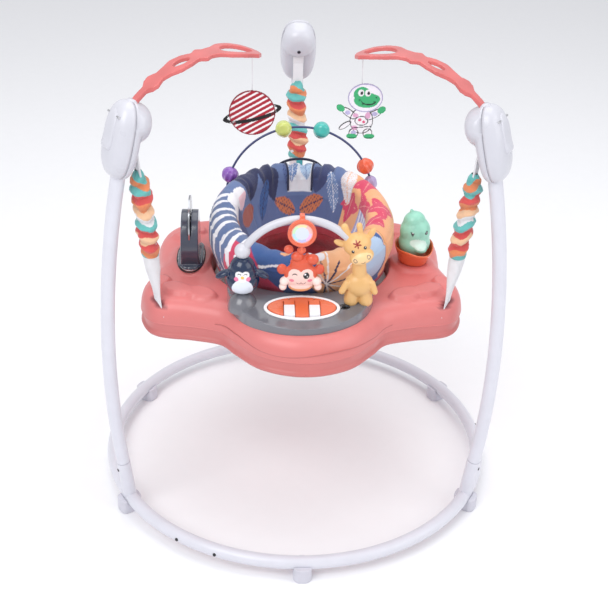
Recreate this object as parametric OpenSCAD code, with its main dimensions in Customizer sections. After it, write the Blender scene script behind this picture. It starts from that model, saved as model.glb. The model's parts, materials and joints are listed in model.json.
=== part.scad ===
/* [Base] */
// Radius of the base ring's centreline
ring_r = 386; // [360:1:400]
// Outer radius of every frame tube
tube_r = 12.7; // [11:0.1:14]
// Wall thickness of the frame tubes
tube_wall = 1.4; // [1:0.1:2]
// Height of the base ring's centreline above the floor
ring_z = 30; // [28:1:34]
// Height of the seam where a post enters its socket
socket_top = 118; // [100:1:140]

/* [Posts] */
// Radius of the bow of each post
bow_r = 1758.6; // [1700:0.1:1820]
// Height of the widest point of the bow
bow_z = 334; // [320:1:350]
// Greatest distance of a post's centreline from the middle
post_reach = 408.6; // [404:0.1:412]
// Lean of each top housing towards the middle
lean = 14.4; // [12:0.1:16]

/* [Tray] */
// Height of the tray's lower rim
tray_z = 380; // [370:1:390]
// Height of the tray's deck
deck_z = 455; // [450:1:460]
// Radius of the opening for the seat
hole_r = 172; // [170:1:176]
// Wall thickness of the tray shells
shell_t = 3; // [2:0.5:4]

/* [Seat] */
// Outer radius of the padded collar
pad_r = 182; // [176:1:184]
// Height of the collar at the sides of the seat
pad_top = 574; // [560:1:580]
// Rise of the collar's top for each millimetre towards the back
pad_slope = 0.2; // [0:0.01:0.25]
// Lowest point of the sling
sling_z = 300; // [290:1:320]

/* [Straps] */
// Distance of the strap from the middle at the tray
strap_r0 = 306; // [304:1:308]
// Distance of the strap from the middle at the housing
strap_r1 = 336; // [332:1:338]

/* [Toys] */
// Radius of the bead arch
arch_r = 147; // [140:1:150]
// Distance of the bead arch behind the middle
arch_y = 130; // [125:1:135]
// Height of the bead arch's centre
arch_z = 535; // [530:1:540]
// Distance of the front toy row in front of the middle
row_y = -200; // [-202:1:-198]

/* [Hidden] */
$fn = 64;
AZ = [-120, 120, 0];            // azimuth of the left, right and rear post
bore_r = tube_r - tube_wall;
house_z = 770;
house_r = post_reach - bow_r + sqrt(pow(bow_r, 2) - pow(house_z - bow_z, 2));
shelf_z = 412;
bead_az = [-72, -13.5, 16, 63, 78];
key_x = [-28.5, 16];
disc_z = 538;
pod_x = -213;
cup_x = 219;

// Places a child drawn with +X outwards at an azimuth measured from the rear
module at_az(a) rotate([0, 0, 90 - a]) children();
// Frame of a top housing: +X outwards, +Z along the post
module at_housing(a) at_az(a) translate([house_r, 0, house_z]) rotate([0, -lean, 0]) children();
// Rectangle with round corners, centred
module round_rect(w, h, r) {
  square([w - 2 * r, h], center = true);
  square([w, h - 2 * r], center = true);
  for (x = [-1, 1], y = [-1, 1]) translate([x * (w / 2 - r), y * (h / 2 - r)]) circle(r);
}
// Bar shape with round ends, centred, with its length along Y
module stadium(w, h) {
  square([w, h - w], center = true);
  for (y = [-1, 1]) translate([0, y * (h - w) / 2]) circle(w / 2);
}
// Point on an arm or leg drawn as a round-ended bar between two points
module bar(a, b, r) hull() {
  translate(a) sphere(r, $fn = 20);
  translate(b) sphere(r, $fn = 20);
}

// ---- base ring and posts ----
// Arc of a tube that lies flat, from one azimuth to another
module ring_arc(a0, a1, r) rotate([0, 0, 90 - a1])
  rotate_extrude(angle = a1 - a0, $fn = 200) translate([ring_r, 0]) circle(r);
socket_lean = 6.1;
socket_r = tube_r + 0.7;
module socket_axis(a) at_az(a) translate([ring_r, 0, ring_z]) rotate([0, socket_lean, 0]) children();
socket_len = (socket_top - ring_z) / cos(socket_lean);
// One third of the base ring with the welded socket for its post
module base_tube(a) color("lavender") difference() {
  union() {
    translate([0, 0, ring_z]) ring_arc(a - 30, a + 90, tube_r);
    socket_axis(a) translate([0, 0, 4]) cylinder(r = socket_r, h = socket_len - 4);
  }
  translate([0, 0, ring_z]) ring_arc(a - 31, a + 91, bore_r);
  socket_axis(a) translate([0, 0, tube_r + 2]) cylinder(r = bore_r, h = socket_len);
  for (s = [-24, 84]) snap_pin(a + s, 3.4);
  socket_pin(a, 3.4);
}
module snap_pin(a, r) at_az(a) translate([ring_r + bore_r - 4, 0, ring_z])
  rotate([0, 90, 0]) cylinder(r = r, h = 7);
module socket_pin(a, r) socket_axis(a) translate([bore_r - 4, 0, socket_len - 16])
  rotate([0, 90, 0]) cylinder(r = r, h = 7);
module base_tube_left() base_tube(AZ[0]);
module base_tube_right() base_tube(AZ[1]);
module base_tube_rear() base_tube(AZ[2]);
module tube_sleeves() color("silver") for (a = AZ) difference() {
  translate([0, 0, ring_z]) ring_arc(a - 38, a - 22, bore_r - 0.2);
  translate([0, 0, ring_z]) ring_arc(a - 39, a - 21, bore_r - 1.8);
  snap_pin(a - 24, 3.1);
  snap_pin(a - 36, 3.1);
}
module snap_buttons() color("black") {
  for (a = AZ, s = [-24, -36]) snap_pin(a + s, 3);
  for (a = AZ) socket_pin(a, 3);
}
foot_len = 34;
foot_width = 44;
foot_out = 2;
module feet() color("slategray") for (a = [0 : 60 : 300]) at_az(a) difference() {
  translate([ring_r + foot_out, 0, 0]) linear_extrude(ring_z) round_rect(foot_width, foot_len, 12);
  rotate([0, 0, -6]) rotate_extrude(angle = 12, $fn = 200) translate([ring_r, ring_z])
    circle(tube_r + 0.1);
}
// Arc of a tube in a post's own plane, between two heights
function bow_angle(z) = asin((z - bow_z) / bow_r);
module bow(z0, z1, r_out, r_in) translate([post_reach - bow_r, 0, bow_z]) rotate([90, 0, 0])
  rotate([0, 0, bow_angle(z0)]) rotate_extrude(angle = bow_angle(z1) - bow_angle(z0), $fn = 200)
    translate([bow_r, 0]) difference() {
      circle(r_out);
      circle(r_in);
    }
module post(a) color("lavender") {
  difference() {
    at_az(a) bow(socket_top + 1, house_z + 18, tube_r, bore_r);
    at_housing(a) translate([0, 0, 8]) rotate([90, 0, 0]) cylinder(r = 3.1, h = 60, center = true);
  }
  socket_axis(a) translate([0, 0, socket_len - 40]) difference() {
    cylinder(r = bore_r - 0.25, h = 44);
    translate([0, 0, -1]) cylinder(r = bore_r - 1.6, h = 60);
    translate([bore_r - 4, 0, 24]) rotate([0, 90, 0]) cylinder(r = 3.1, h = 7);
  }
  socket_axis(a) translate([0, 0, socket_len + 2]) difference() {
    cylinder(r = bore_r + 0.5, h = 2);
    translate([0, 0, -1]) cylinder(r = bore_r - 1.6, h = 4);
  }
}
module post_left() post(AZ[0]);
module post_right() post(AZ[1]);
module post_rear() post(AZ[2]);

// ---- top housings ----
shell_w = 74;
shell_lo = -68;
shell_hi = 66;
dome_z = 29;
dome_r = 35;
dome_x = -38;
lower_x = -19;
arm_w = 16;
// Outline of the outer half seen from the side
module outer_profile(g) difference() {
  translate([-36, (shell_lo + shell_hi) / 2]) round_rect(2 * (66 - g), shell_hi - shell_lo - 2 * g, 26);
  translate([-200, -100]) square([200.2 - g, 200]);
}
module latch_boss(y0) translate([22, y0, latch_pin_z - 6]) cube([6.5, 4, 12]);
module outer_shell(a) color("lavender") at_housing(a) difference() {
  union() {
    shell_wall(a);
    latch_boss(18.4);
    latch_boss(-22.4);
  }
  translate([latch_pin_x, 0, latch_pin_z]) rotate([90, 0, 0]) cylinder(r = 2.05, h = 60, center = true);
}
module shell_wall(a) difference() {
  intersection() {
    rotate([90, 0, 0]) linear_extrude(shell_w, center = true) outer_profile(0);
    translate([0, 0, -80]) linear_extrude(160) round_rect(62, shell_w, 22);
    rotate([0, 90, 0]) linear_extrude(80, center = true)
      translate([-(shell_lo + shell_hi) / 2, 0]) round_rect(shell_hi - shell_lo, shell_w, 34);
  }
  intersection() {
    rotate([90, 0, 0]) linear_extrude(shell_w - 6, center = true) outer_profile(3);
    translate([0, 0, -80]) linear_extrude(160) round_rect(56, shell_w - 6, 19);
    translate([-1, 0, 0]) rotate([0, 90, 0]) linear_extrude(80, center = true)
      translate([-(shell_lo + shell_hi) / 2, 0]) round_rect(shell_hi - shell_lo - 6, shell_w - 6, 31);
  }
  translate([-1, 0, -75]) cylinder(r = tube_r + 0.8, h = 20);
  arm_slot(a);
  latch_slot(0.6);
}
module arm_slot(a) if (a != 0) translate([-3, 0, 52]) cube([20, arm_w + 0.6, 30], center = true);
module inner_shell(a) at_housing(a) difference() {
  union() {
    translate([lower_x, 0, 0]) rotate([0, 90, 0]) linear_extrude(-lower_x - 0.1)
      translate([-(shell_lo + shell_hi) / 2, 0]) round_rect(shell_hi - shell_lo, shell_w - 4, 33);
    translate([dome_x + 14, 0, dome_z]) rotate([0, 90, 0]) cylinder(r = dome_r, h = 12);
    intersection() {
      translate([dome_x + 40, 0, dome_z]) sphere(r = 40, $fn = 96);
      translate([dome_x, 0, dome_z]) rotate([0, 90, 0]) cylinder(r = dome_r, h = 16);
    }
  }
  translate([lower_x + 3, 0, 0]) rotate([0, 90, 0]) linear_extrude(-lower_x)
    translate([-(shell_lo + shell_hi) / 2, 0]) round_rect(shell_hi - shell_lo - 6, shell_w - 10, 30);
  translate([dome_x + 17, 0, dome_z]) rotate([0, 90, 0]) cylinder(r = dome_r - 3, h = 40);
  intersection() {
    translate([dome_x + 40, 0, dome_z]) sphere(r = 37, $fn = 96);
    translate([dome_x, 0, dome_z]) rotate([0, 90, 0]) cylinder(r = dome_r, h = 20);
  }
  translate([hang_x + 1, 0, -2]) cube([16, 28, 20], center = true);
  translate([dome_x - 1, 0, dome_z - 12]) rotate([0, 90, 0]) cylinder(r = 3.2, h = 14);
  translate([-1, 0, -75]) cylinder(r = tube_r + 0.8, h = 20);
  arm_slot(a);
}
module outer_shell_left() outer_shell(AZ[0]);
module outer_shell_right() outer_shell(AZ[1]);
module outer_shell_rear() outer_shell(AZ[2]);
module inner_shells() color("lavender") for (a = AZ) inner_shell(a);
// Screw through the dome, and the bolt that pins the shells to the post
module housing_screws() color("dimgray") for (a = AZ) at_housing(a) {
  translate([dome_x + 4, 0, dome_z - 12]) rotate([0, 90, 0]) cylinder(r = 3, h = 8);
  translate([0, 0, 8]) rotate([90, 0, 0]) cylinder(r = 3, h = 63, center = true);
  translate([latch_pin_x, 0, latch_pin_z]) rotate([90, 0, 0]) cylinder(r = 1.95, h = 44, center = true);
}
hang_x = -27;
module strap_anchors() color("silver") for (a = AZ) at_housing(a)
  translate([hang_x + 4, 0, dome_z + 6]) rotate([90, 0, 0]) cylinder(r = 3, h = 44, center = true);
// Axis of a strap: +Z up along it, origin at the tray
strap_base = 440;
strap_top = 745;
strap_tilt = atan((strap_r1 - strap_r0) / (strap_top - strap_base));
module on_strap(a) at_az(a) translate([strap_r0, 0, strap_base]) rotate([0, strap_tilt, 0]) children();
module hanger_straps() color("white") for (a = AZ) {
  on_strap(a) translate([-1.5, -10.5, 259]) cube([3, 21, 52]);
  at_housing(a) difference() {
    union() {
      translate([hang_x + 4, 0, dome_z + 6]) rotate([90, 0, 0]) cylinder(r = 6, h = 23, center = true);
      translate([hang_x + 2.5, -11, -16]) cube([3, 22, 51]);
    }
    translate([hang_x + 4, 0, dome_z + 6]) rotate([90, 0, 0]) cylinder(r = 3.1, h = 60, center = true);
  }
}
// Lift flap that sets the strap's height, hinged at its top edge
latch_w = 34;
latch_pin_z = 40;
latch_pin_x = 26;
module latch_slot(g) translate([22, -latch_w / 2 - g, -16 - g]) cube([20, latch_w + 2 * g, 66 + g]);
module latch(a) color("thistle") at_housing(a) difference() {
  union() {
    intersection() {
      translate([22.8, -latch_w / 2, -16]) cube([11.2, latch_w, 62]);
      translate([latch_pin_x - 30, 0, -80]) cylinder(r = 38, h = 160);
    }
    translate([31, -latch_w / 2, -20]) cube([7, latch_w, 10]);
  }
  translate([latch_pin_x, 0, latch_pin_z]) rotate([90, 0, 0]) cylinder(r = 2.25, h = 60, center = true);
}
module latch_left() latch(AZ[0]);
module latch_right() latch(AZ[1]);
module latch_rear() latch(AZ[2]);

// ---- toy arms and hanging toys ----
arm_u = 175;
arm_h = 665;
arm_bow = 228;
tip_u = 98;
// Half width of an arm along its length
ARM = [[98, 3], [102, 18], [115, 32], [140, 38], [165, 34], [182, 22], [196, 19], [208, 26], [219, 16],
  [235, 23], [255, 25], [272, 17], [284, 14], [297, 22], [306, 18], [313, 8], [342, 8]];
module oval(cx, a, b) polygon([for (t = [0 : 12 : 348]) [cx + a * cos(t), b * sin(t)]]);
module toy_arm(a) color("lightcoral") at_az(a) intersection() {
  translate([arm_u, 0, arm_h]) rotate([90, 0, 0]) rotate_extrude(angle = 125, $fn = 200)
    translate([arm_bow, 0]) square([7, 80], center = true);
  translate([0, 0, 700]) linear_extrude(300) difference() {
    polygon(concat([for (p = ARM) p], [for (i = [len(ARM) - 1 : -1 : 0]) [ARM[i][0], -ARM[i][1]]]));
    oval(142, 29, 23);
    oval(245, 15, 10);
  }
  translate([0, -40, 815]) cube([400, 80, 100]);
}
module toy_arm_left() toy_arm(AZ[0]);
module toy_arm_right() toy_arm(AZ[1]);
hang_u = 110;
hang_z = arm_h + sqrt(pow(arm_bow, 2) - pow(arm_u - hang_u, 2)) - 5;
planet_z = 776;
module planet_toy() color("crimson") translate([-hang_u * sin(120), hang_u * cos(120), 0]) {
  translate([0, 0, planet_z]) rotate([90, 0, 0]) {
    cylinder(r = 38, h = 4, center = true);
    rotate([0, 0, 14]) linear_extrude(4, center = true) scale_oval(48, 9);
  }
  translate([0, 0, planet_z + 37]) cylinder(r = 0.6, h = hang_z - planet_z - 37);
}
module scale_oval(a, b) polygon([for (t = [0 : 10 : 350]) [a * cos(t), b * sin(t)]]);
dino_z = 781;
module dino_toy() color("mediumseagreen") translate([hang_u * sin(120), hang_u * cos(120), 0]) {
  translate([0, 0, dino_z]) rotate([90, 0, 0]) linear_extrude(4, center = true) {
    translate([8, 24]) scale_oval(31, 26);
    translate([4, -20]) scale_oval(21, 25);
    translate([-25, -8]) rotate(-35) square([46, 7], center = true);
    translate([26, -8]) rotate(25) square([34, 7], center = true);
    translate([2, -45]) square([42, 8], center = true);
  }
  translate([0, 0, dino_z + 48]) cylinder(r = 0.6, h = hang_z - dino_z - 48);
}

// ---- straps ----
coils = 22;
coil_r = 7;
wire_r = 1.7;
module springs() color("silver") for (a = AZ) on_strap(a) translate([0, 0, 168]) {
  rotate_extrude() for (i = [0 : coils]) translate([coil_r, i * 4]) {
    circle(wire_r, $fn = 24);
    translate([-0.5, 0]) square([1, i < coils ? 4 : 0.5]);
  }
}
cover_r = 18;
module strap_covers() color("coral") for (a = AZ) on_strap(a) difference() {
  translate([0, 0, 112]) cylinder(r = cover_r, h = 144);
  translate([0, 0, 111]) cylinder(r = cover_r - 1.5, h = 146);
}
web_w = 30;
module strap_webs() color("white") for (a = AZ) on_strap(a) difference() {
  union() {
    translate([-1.5, -web_w / 2, -12]) cube([3, web_w, 160]);
    translate([0, 0, -14]) rotate([90, 0, 0]) cylinder(r = 4.2, h = web_w, center = true);
  }
  translate([0, 0, -14]) rotate([90, 0, 0]) cylinder(r = 2.6, h = web_w + 2, center = true);
}
module strap_bars() color("silver") for (a = AZ) on_strap(a)
  translate([0, 0, -14]) rotate([90, 0, 0]) cylinder(r = 2.5, h = 44, center = true);

// ---- tray ----
// Half outline of the tray: azimuth from the rear, and radius
HALF = [[0, 322], [10, 312], [20, 282], [30, 262], [40, 272], [50, 300], [60, 311], [70, 302],
  [80, 286], [89, 279], [98, 292], [105, 313], [113, 324], [121, 320], [131, 276], [142, 251],
  [151, 263], [165, 293], [180, 305]];
function cubic(a, b, c, d, t) = b + 0.5 * t * (c - a + t * (2 * a - 5 * b + 4 * c - d
  + t * (3 * (b - c) + d - a)));
function half_at(i) = i < 0 ? HALF[-i][1]
  : i >= len(HALF) ? HALF[2 * len(HALF) - 2 - i][1] : HALF[i][1];
function seg(a, i = 0) = a < HALF[i + 1][0] || i == len(HALF) - 2 ? i : seg(a, i + 1);
function rim(a) = let (i = seg(a), t = (a - HALF[i][0]) / (HALF[i + 1][0] - HALF[i][0]))
  cubic(half_at(i - 1), half_at(i), half_at(i + 1), half_at(i + 2), t);
module outline(g) polygon([for (a = [-177 : 3 : 180]) (rim(abs(a)) - g) * [sin(a), cos(a)]]);
module slab(z0, z1, g) translate([0, 0, z0]) linear_extrude(z1 - z0) outline(g);
module well(z0, z1, r) translate([0, 0, z0]) cylinder(r = r, h = z1 - z0, $fn = 160);
pod_top = deck_z + 7;
module tray_steps(g) {
  slab(shelf_z + 2, deck_z - 18 - g, 3 + g);
  slab(shelf_z + 2, deck_z - 8 - g, 7 + g);
  slab(shelf_z + 2, deck_z - g, 34 + g);
  translate([pod_x, 5, shelf_z + 2]) linear_extrude(pod_top - g - shelf_z - 2) stadium(78 - 2 * g, 140 - 2 * g);
  translate([cup_x, 0, shelf_z + 2]) cylinder(r = 46 - g, h = pod_top - g - shelf_z - 2);
}
module tray_top() color("lightcoral") difference() {
  union() {
    difference() {
      tray_steps(0);
      difference() {
        translate([0, 0, -0.01]) tray_steps(shell_t);
        well(shelf_z - 1, 500, hole_r + shell_t);
      }
    }
    for (a = [0 : 60 : 300]) at_az(a + 30) intersection() {
      difference() {
        well(424, 428, hole_r + 1);
        well(423, 429, hole_r - 5);
      }
      translate([hole_r, 0, 426]) cube([20, 26, 20], center = true);
    }
  }
  difference() {
    well(shelf_z - 1, 500, hole_r);
    for (a = [0 : 60 : 300]) at_az(a + 30) translate([hole_r, 0, 426]) cube([12, 26, 4], center = true);
  }
  well(shelf_z - 1, 500, hole_r - 5);
  for (a = AZ) on_strap(a) {
    cube([9.4, web_w + 5, 60], center = true);
    translate([0, 0, -14]) cube([9.4, 44.6, 6], center = true);
  }
  console_cut();
  translate([pod_x, 5, 450]) linear_extrude(20) stadium(34, 104);
  translate([cup_x, -8, 450]) cylinder(r = 16, h = 20);
  for (x = [-1, 1]) translate([x * arch_r, arch_y, 440]) cylinder(r = 2.6, h = 30);
}
module tray_bottom() color("indianred") difference() {
  union() {
    slab(tray_z, tray_z + shell_t, 3);
    difference() {
      union() {
        slab(tray_z, tray_z + 10, 0);
        slab(tray_z + 9, shelf_z + 1.8, 3);
      }
      slab(tray_z + shell_t, shelf_z + 3, 3 + shell_t);
    }
    well(tray_z, shelf_z - 3, 161);
    well(shelf_z - 4, shelf_z, hole_r + 8);
  }
  well(tray_z - 1, shelf_z + 1, 158);
  translate([-35, -245, tray_z - 1]) cube([70, 60, shell_t + 2]);
  for (a = [30 : 60 : 330]) at_az(a) translate([236, 0, tray_z - 1]) cylinder(r = 2.6, h = 10);
}
module tray_screws() color("dimgray") for (a = [30 : 60 : 330]) at_az(a) translate([236, 0, 0]) {
  translate([0, 0, tray_z - 2]) cylinder(r = 5, h = 1.8);
  translate([0, 0, tray_z - 0.3]) cylinder(r = 2.5, h = 24);
}

// ---- seat ----
module seat_ring() color("mistyrose") difference() {
  union() {
    well(shelf_z + 4, shelf_z + 9, hole_r - 2.5);
    well(shelf_z + 8, deck_z - 3, 151);
  }
  well(shelf_z, 500, 146);
}
module seat_glides() color("white") for (a = [0 : 60 : 300]) at_az(a) difference() {
  intersection() {
    well(shelf_z + 0.3, shelf_z + 4, 169);
    translate([164, 0, shelf_z]) cube([30, 30, 30], center = true);
  }
  well(shelf_z - 1, shelf_z + 6, 160);
}
pad_in = 121;
// Everything below the collar's sloping top, lowered by g
module below_top(g) translate([0, 0, pad_top - g]) multmatrix([[1, 0, 0, 0], [0, 1, 0, 0],
  [0, pad_slope, 1, 0], [0, 0, 0, 1]]) translate([-250, -250, -400]) cube([500, 500, 400]);
// Half section of the collar, widest just above the deck
module pad_profile() polygon([[pad_in, deck_z - 2], [166, deck_z - 2], [167, 479], [176, 490],
  [pad_r, 505], [pad_r, 522], [pad_r - 6, 547], [pad_r - 16, 577], [pad_r - 24, 600],
  [pad_r - 34, 615], [pad_in, 615]]);
module seat_pad() color("steelblue") {
  intersection() {
    rotate_extrude($fn = 160) pad_profile();
    below_top(0);
  }
}
module seat_sling() color("firebrick") difference() {
  intersection() {
    translate([0, 0, sling_z]) cylinder(r1 = 104, r2 = pad_in - 1, h = 260, $fn = 96);
    below_top(8);
  }
  translate([0, 0, sling_z + 4]) cylinder(r1 = 100, r2 = pad_in - 5, h = 262, $fn = 96);
  for (x = [-1, 1]) translate([x * 54, -12, sling_z - 1]) cylinder(r = 38, h = 8);
}

// ---- console ----
module crescent(g) difference() {
  translate([-6, -146]) circle(134 - g, $fn = 96);
  circle(176 + g, $fn = 96);
  translate([-200, -150 - g]) square([400, 400]);
}
console_lo = 430;
flange_z = deck_z - 7.8;
console_top = 468;
module console_cut() {
  translate([0, 0, console_lo]) linear_extrude(60) crescent(3.4);
  translate([0, 0, flange_z - 0.2]) linear_extrude(60) crescent(-0.4);
}
bezel = [-6, -221];
bezel_a = 68;
bezel_b = 34;
module console_panel() color("gray") difference() {
  union() {
    translate([0, 0, flange_z]) linear_extrude(console_top - flange_z) crescent(0);
    translate([0, 0, console_lo]) linear_extrude(flange_z - console_lo + 1) crescent(4);
    intersection() {
      translate([toy_x, row_y, 462]) sphere(22);
      translate([toy_x - 40, row_y - 40, deck_z + 0.3]) cube([80, 80, 40]);
    }
  }
  translate([0, 0, console_lo - 1]) linear_extrude(console_top - 4 - console_lo) crescent(7);
  translate([0, 0, 420]) linear_extrude(80) translate(bezel) scale_oval(bezel_a - 4, bezel_b - 4);
  translate([72, -216, 460]) cube([14, 7, 30], center = true);
  translate([toy_x, row_y, 400]) cylinder(r = 4.06, h = 100);
}
module key_bezel() color("white") translate([0, 0, console_top]) linear_extrude(3) translate(bezel)
  difference() {
    scale_oval(bezel_a, bezel_b);
    scale_oval(bezel_a - 6, bezel_b - 6);
  }
key_top = console_top + 4;
// Floor plan of one orange key, between two cuts
module key_plan(x0, x1) difference() {
  intersection() {
    translate(bezel) scale_oval(bezel_a - 7, bezel_b - 7);
    translate([x0, -300]) square([x1 - x0, 200]);
  }
  for (x = key_x) translate([x - 10.2, bezel[1] - 60]) square([20.4, 76.7]);
}
module orange_key(x0, x1) color("coral") translate([0, 0, key_top - 10]) linear_extrude(10) key_plan(x0, x1);
module orange_key_left() orange_key(-100, key_x[0] - 0.4);
module orange_key_middle() orange_key(key_x[0] + 0.4, key_x[1] - 0.4);
module orange_key_right() orange_key(key_x[1] + 0.4, 100);
module white_key(x) color("white") translate([x, 0, key_top - 8]) linear_extrude(11) intersection() {
  translate([0, bezel[1] - 5]) square([19, 42], center = true);
  translate([bezel[0] - x, bezel[1]]) scale_oval(bezel_a - 7, bezel_b - 7);
}
module white_key_left() white_key(key_x[0]);
module white_key_right() white_key(key_x[1]);
module power_switch() color("black") translate([69, -216, console_top - 6]) {
  translate([-1.5, -3, 0]) cube([4, 6, 9]);
}
module sound_module() color("darkgreen") {
  translate([-50, -246, 436]) cube([88, 54, 2]);
  translate([60, -198, 434]) cylinder(r = 14, h = 8);
  translate([-30, -240, tray_z + shell_t]) cube([60, 46, 22]);
}
module battery_cover() color("gray") translate([-34.7, -244.7, tray_z - 0.5]) cube([69.4, 59.4, 3]);

// ---- front toys ----
pen_z = 489;
ball_z = 576;
toy_x = -111;
module penguin() color("midnightblue") translate([toy_x, row_y, 0]) {
  difference() {
    union() {
      translate([0, 0, pen_z + 27]) sphere(27);
      translate([0, 0, pen_z + 48]) sphere(20);
      for (s = [-1, 1]) bar([s * 22, -3, pen_z + 42], [s * 33, -5, pen_z + 26], 5);
    }
    translate([-60, -60, pen_z - 60]) cube([120, 120, 61]);
    translate([0, 0, pen_z + 40]) cylinder(r = 3.06, h = 50);
  }
  translate([0, 0, pen_z - 24]) cylinder(r = 4, h = 26);
}
ta_x = -10;
ta_z = 525;
ta_r = 112;
module toy_arch() color("lavender") {
  translate([ta_x, row_y, ta_z]) rotate([90, 0, 0]) rotate([0, 0, 38])
    rotate_extrude(angle = 112, $fn = 128) translate([ta_r, 0]) circle(7);
  translate([toy_x, row_y, ball_z]) sphere(14);
  translate([toy_x, row_y, ball_z - 36]) cylinder(r = 3, h = 30);
}
pend_x = -9;
pend_pin = ta_z + ta_r;
mirror_z = 617;
mirror_r = 25;
mirror_out = 13;
stem = 5;
stem_z = mirror_z - mirror_r - 12;
// Round mirror in front of the arch, on a loop round the arch, with a stem down to the head
module mirror_pendant() color("coral") translate([pend_x, row_y, 0]) {
  translate([0, -mirror_out, mirror_z]) rotate([90, 0, 0]) difference() {
    cylinder(r = mirror_r, h = 8, center = true);
    translate([0, 0, 2]) cylinder(r = mirror_r - 5, h = 5);
  }
  translate([0, 0, pend_pin]) rotate([0, 90, 0]) difference() {
    cylinder(r = 11, h = 9, center = true);
    cylinder(r = 7.6, h = 12, center = true);
  }
  translate([-stem / 2, -mirror_out - 1, stem_z]) cube([stem, 10, 20]);
  translate([-stem / 2, -mirror_out - 1, stem_z]) cube([stem, 16, stem]);
}
module puck(r, t) rotate([90, 0, 0]) rotate_extrude() {
  translate([0, -t / 2]) square([r - t / 2, t]);
  translate([r - t / 2, 0]) circle(t / 2);
}
module monkey() color("tomato") translate([pend_x, row_y, 0]) {
  translate([0, 0, 533]) puck(33, 22);
  for (s = [-1, 1]) translate([s * 33, 0, 545]) puck(9, 9);
  for (s = [-1, 0, 1]) translate([s * 6, 0, 560]) rotate([0, s * 25, 0]) cylinder(r1 = 5, r2 = 3, h = 17);
}
module giraffe() color("khaki") difference() {
  union() {
    for (x = [81, 107]) translate([x, row_y, console_top + 0.2]) cylinder(r1 = 13, r2 = 12, h = 42);
    translate([92, row_y, 515]) sphere(26);
    translate([90, row_y, 523]) cylinder(r = 12, h = 44);
    translate([90, row_y - 2, 590]) sphere(29);
    translate([86, row_y - 14, 575]) sphere(20);
    translate([70, row_y, 611]) cylinder(r = 5, h = 33);
    translate([104, row_y, 606]) cylinder(r = 5, h = 26);
  }
  translate([-100, row_y + 19.5, 400]) cube([400, 40, 300]);
  translate([ta_x, row_y, ta_z]) rotate([90, 0, 0]) rotate([0, 0, 30])
    rotate_extrude(angle = 60, $fn = 128) translate([ta_r, 0]) circle(7.2);
}

// ---- side toys ----
module spinner_pod() color("darkslategray") difference() {
  union() {
    translate([pod_x, 5, pod_top]) linear_extrude(5) stadium(44, 114);
    translate([pod_x, 5, 440]) linear_extrude(24) stadium(30, 100);
    translate([pod_x, 0, 503]) rotate([0, 90, 0]) cylinder(r = 57, h = 34, center = true, $fn = 96);
  }
  difference() {
    translate([pod_x, 0, 390]) cube([60, 160, 144], center = true);
    translate([pod_x, 5, 430]) linear_extrude(40) stadium(30, 100);
    translate([pod_x, 5, pod_top]) linear_extrude(5) stadium(44, 114);
  }
  translate([pod_x, 0, disc_z]) rotate([0, 90, 0]) cylinder(r = 52, h = 6, center = true, $fn = 96);
  translate([pod_x - 3, -60, disc_z]) cube([6, 120, 60]);
  translate([pod_x, 0, disc_z]) rotate([0, 90, 0]) cylinder(r = 3.06, h = 60, center = true);
}
module spinner_disc() color("silver") translate([pod_x, 0, disc_z]) rotate([0, 90, 0]) {
  cylinder(r = 50, h = 3, center = true, $fn = 96);
  cylinder(r = 3, h = 30, center = true);
}
module head_cup() color("orangered") translate([cup_x, -8, 0]) difference() {
  union() {
    translate([0, 0, pod_top]) cylinder(r1 = 24, r2 = 33, h = 30);
    translate([0, 0, 440]) cylinder(r = 15.5, h = 24);
  }
  translate([0, 0, pod_top + 5]) cylinder(r1 = 21, r2 = 31.2, h = 26);
  translate([0, 0, 400]) cylinder(r = 5.06, h = 100);
}
module mint_head() color("aquamarine") translate([cup_x, -8, 0]) {
  rotate_extrude() {
    intersection() {
      translate([-14, 512]) circle(46);
      translate([0, 474]) square([60, 54]);
    }
    intersection() {
      translate([-40, 520]) circle(72);
      translate([0, 528]) square([60, 39.5]);
    }
  }
  translate([0, 0, 448]) cylinder(r = 5, h = 30);
}

// ---- bead arch ----
wire = 2.25;
module bead_wire() color("darkslateblue") {
  translate([0, arch_y, arch_z]) rotate([90, 0, 0]) rotate_extrude(angle = 180, $fn = 160)
    translate([arch_r, 0]) circle(wire);
  for (x = [-1, 1]) translate([x * arch_r, arch_y, 440]) cylinder(r = wire, h = arch_z - 440);
}
// Bead number i on the wire: a ball, stretched by half of len along its straight bore
module bead(i, r, tint, len = 0) color(tint)
  translate([0, arch_y, arch_z]) rotate([0, bead_az[i], 0]) translate([0, 0, arch_r - 0.45])
    rotate([0, 90, 0]) rotate_extrude($fn = 96) difference() {
      intersection() {
        union() {
          for (s = [-1, 1]) translate([0, s * len / 2]) circle(r);
          translate([0, -len / 2]) square([r, max(len, 0.5)]);
        }
        translate([0, -50]) square([50, 100]);
      }
      translate([-1, -50]) square([wire + 1.75, 100]);
    }
module bead_purple() bead(0, 16.5, "mediumpurple");
module bead_lime() bead(1, 16.5, "yellowgreen");
module bead_teal() bead(2, 16.5, "lightseagreen");
module bead_orange() bead(3, 16.5, "orangered");
module bead_lilac() bead(4, 12, "thistle", 7);

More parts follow.
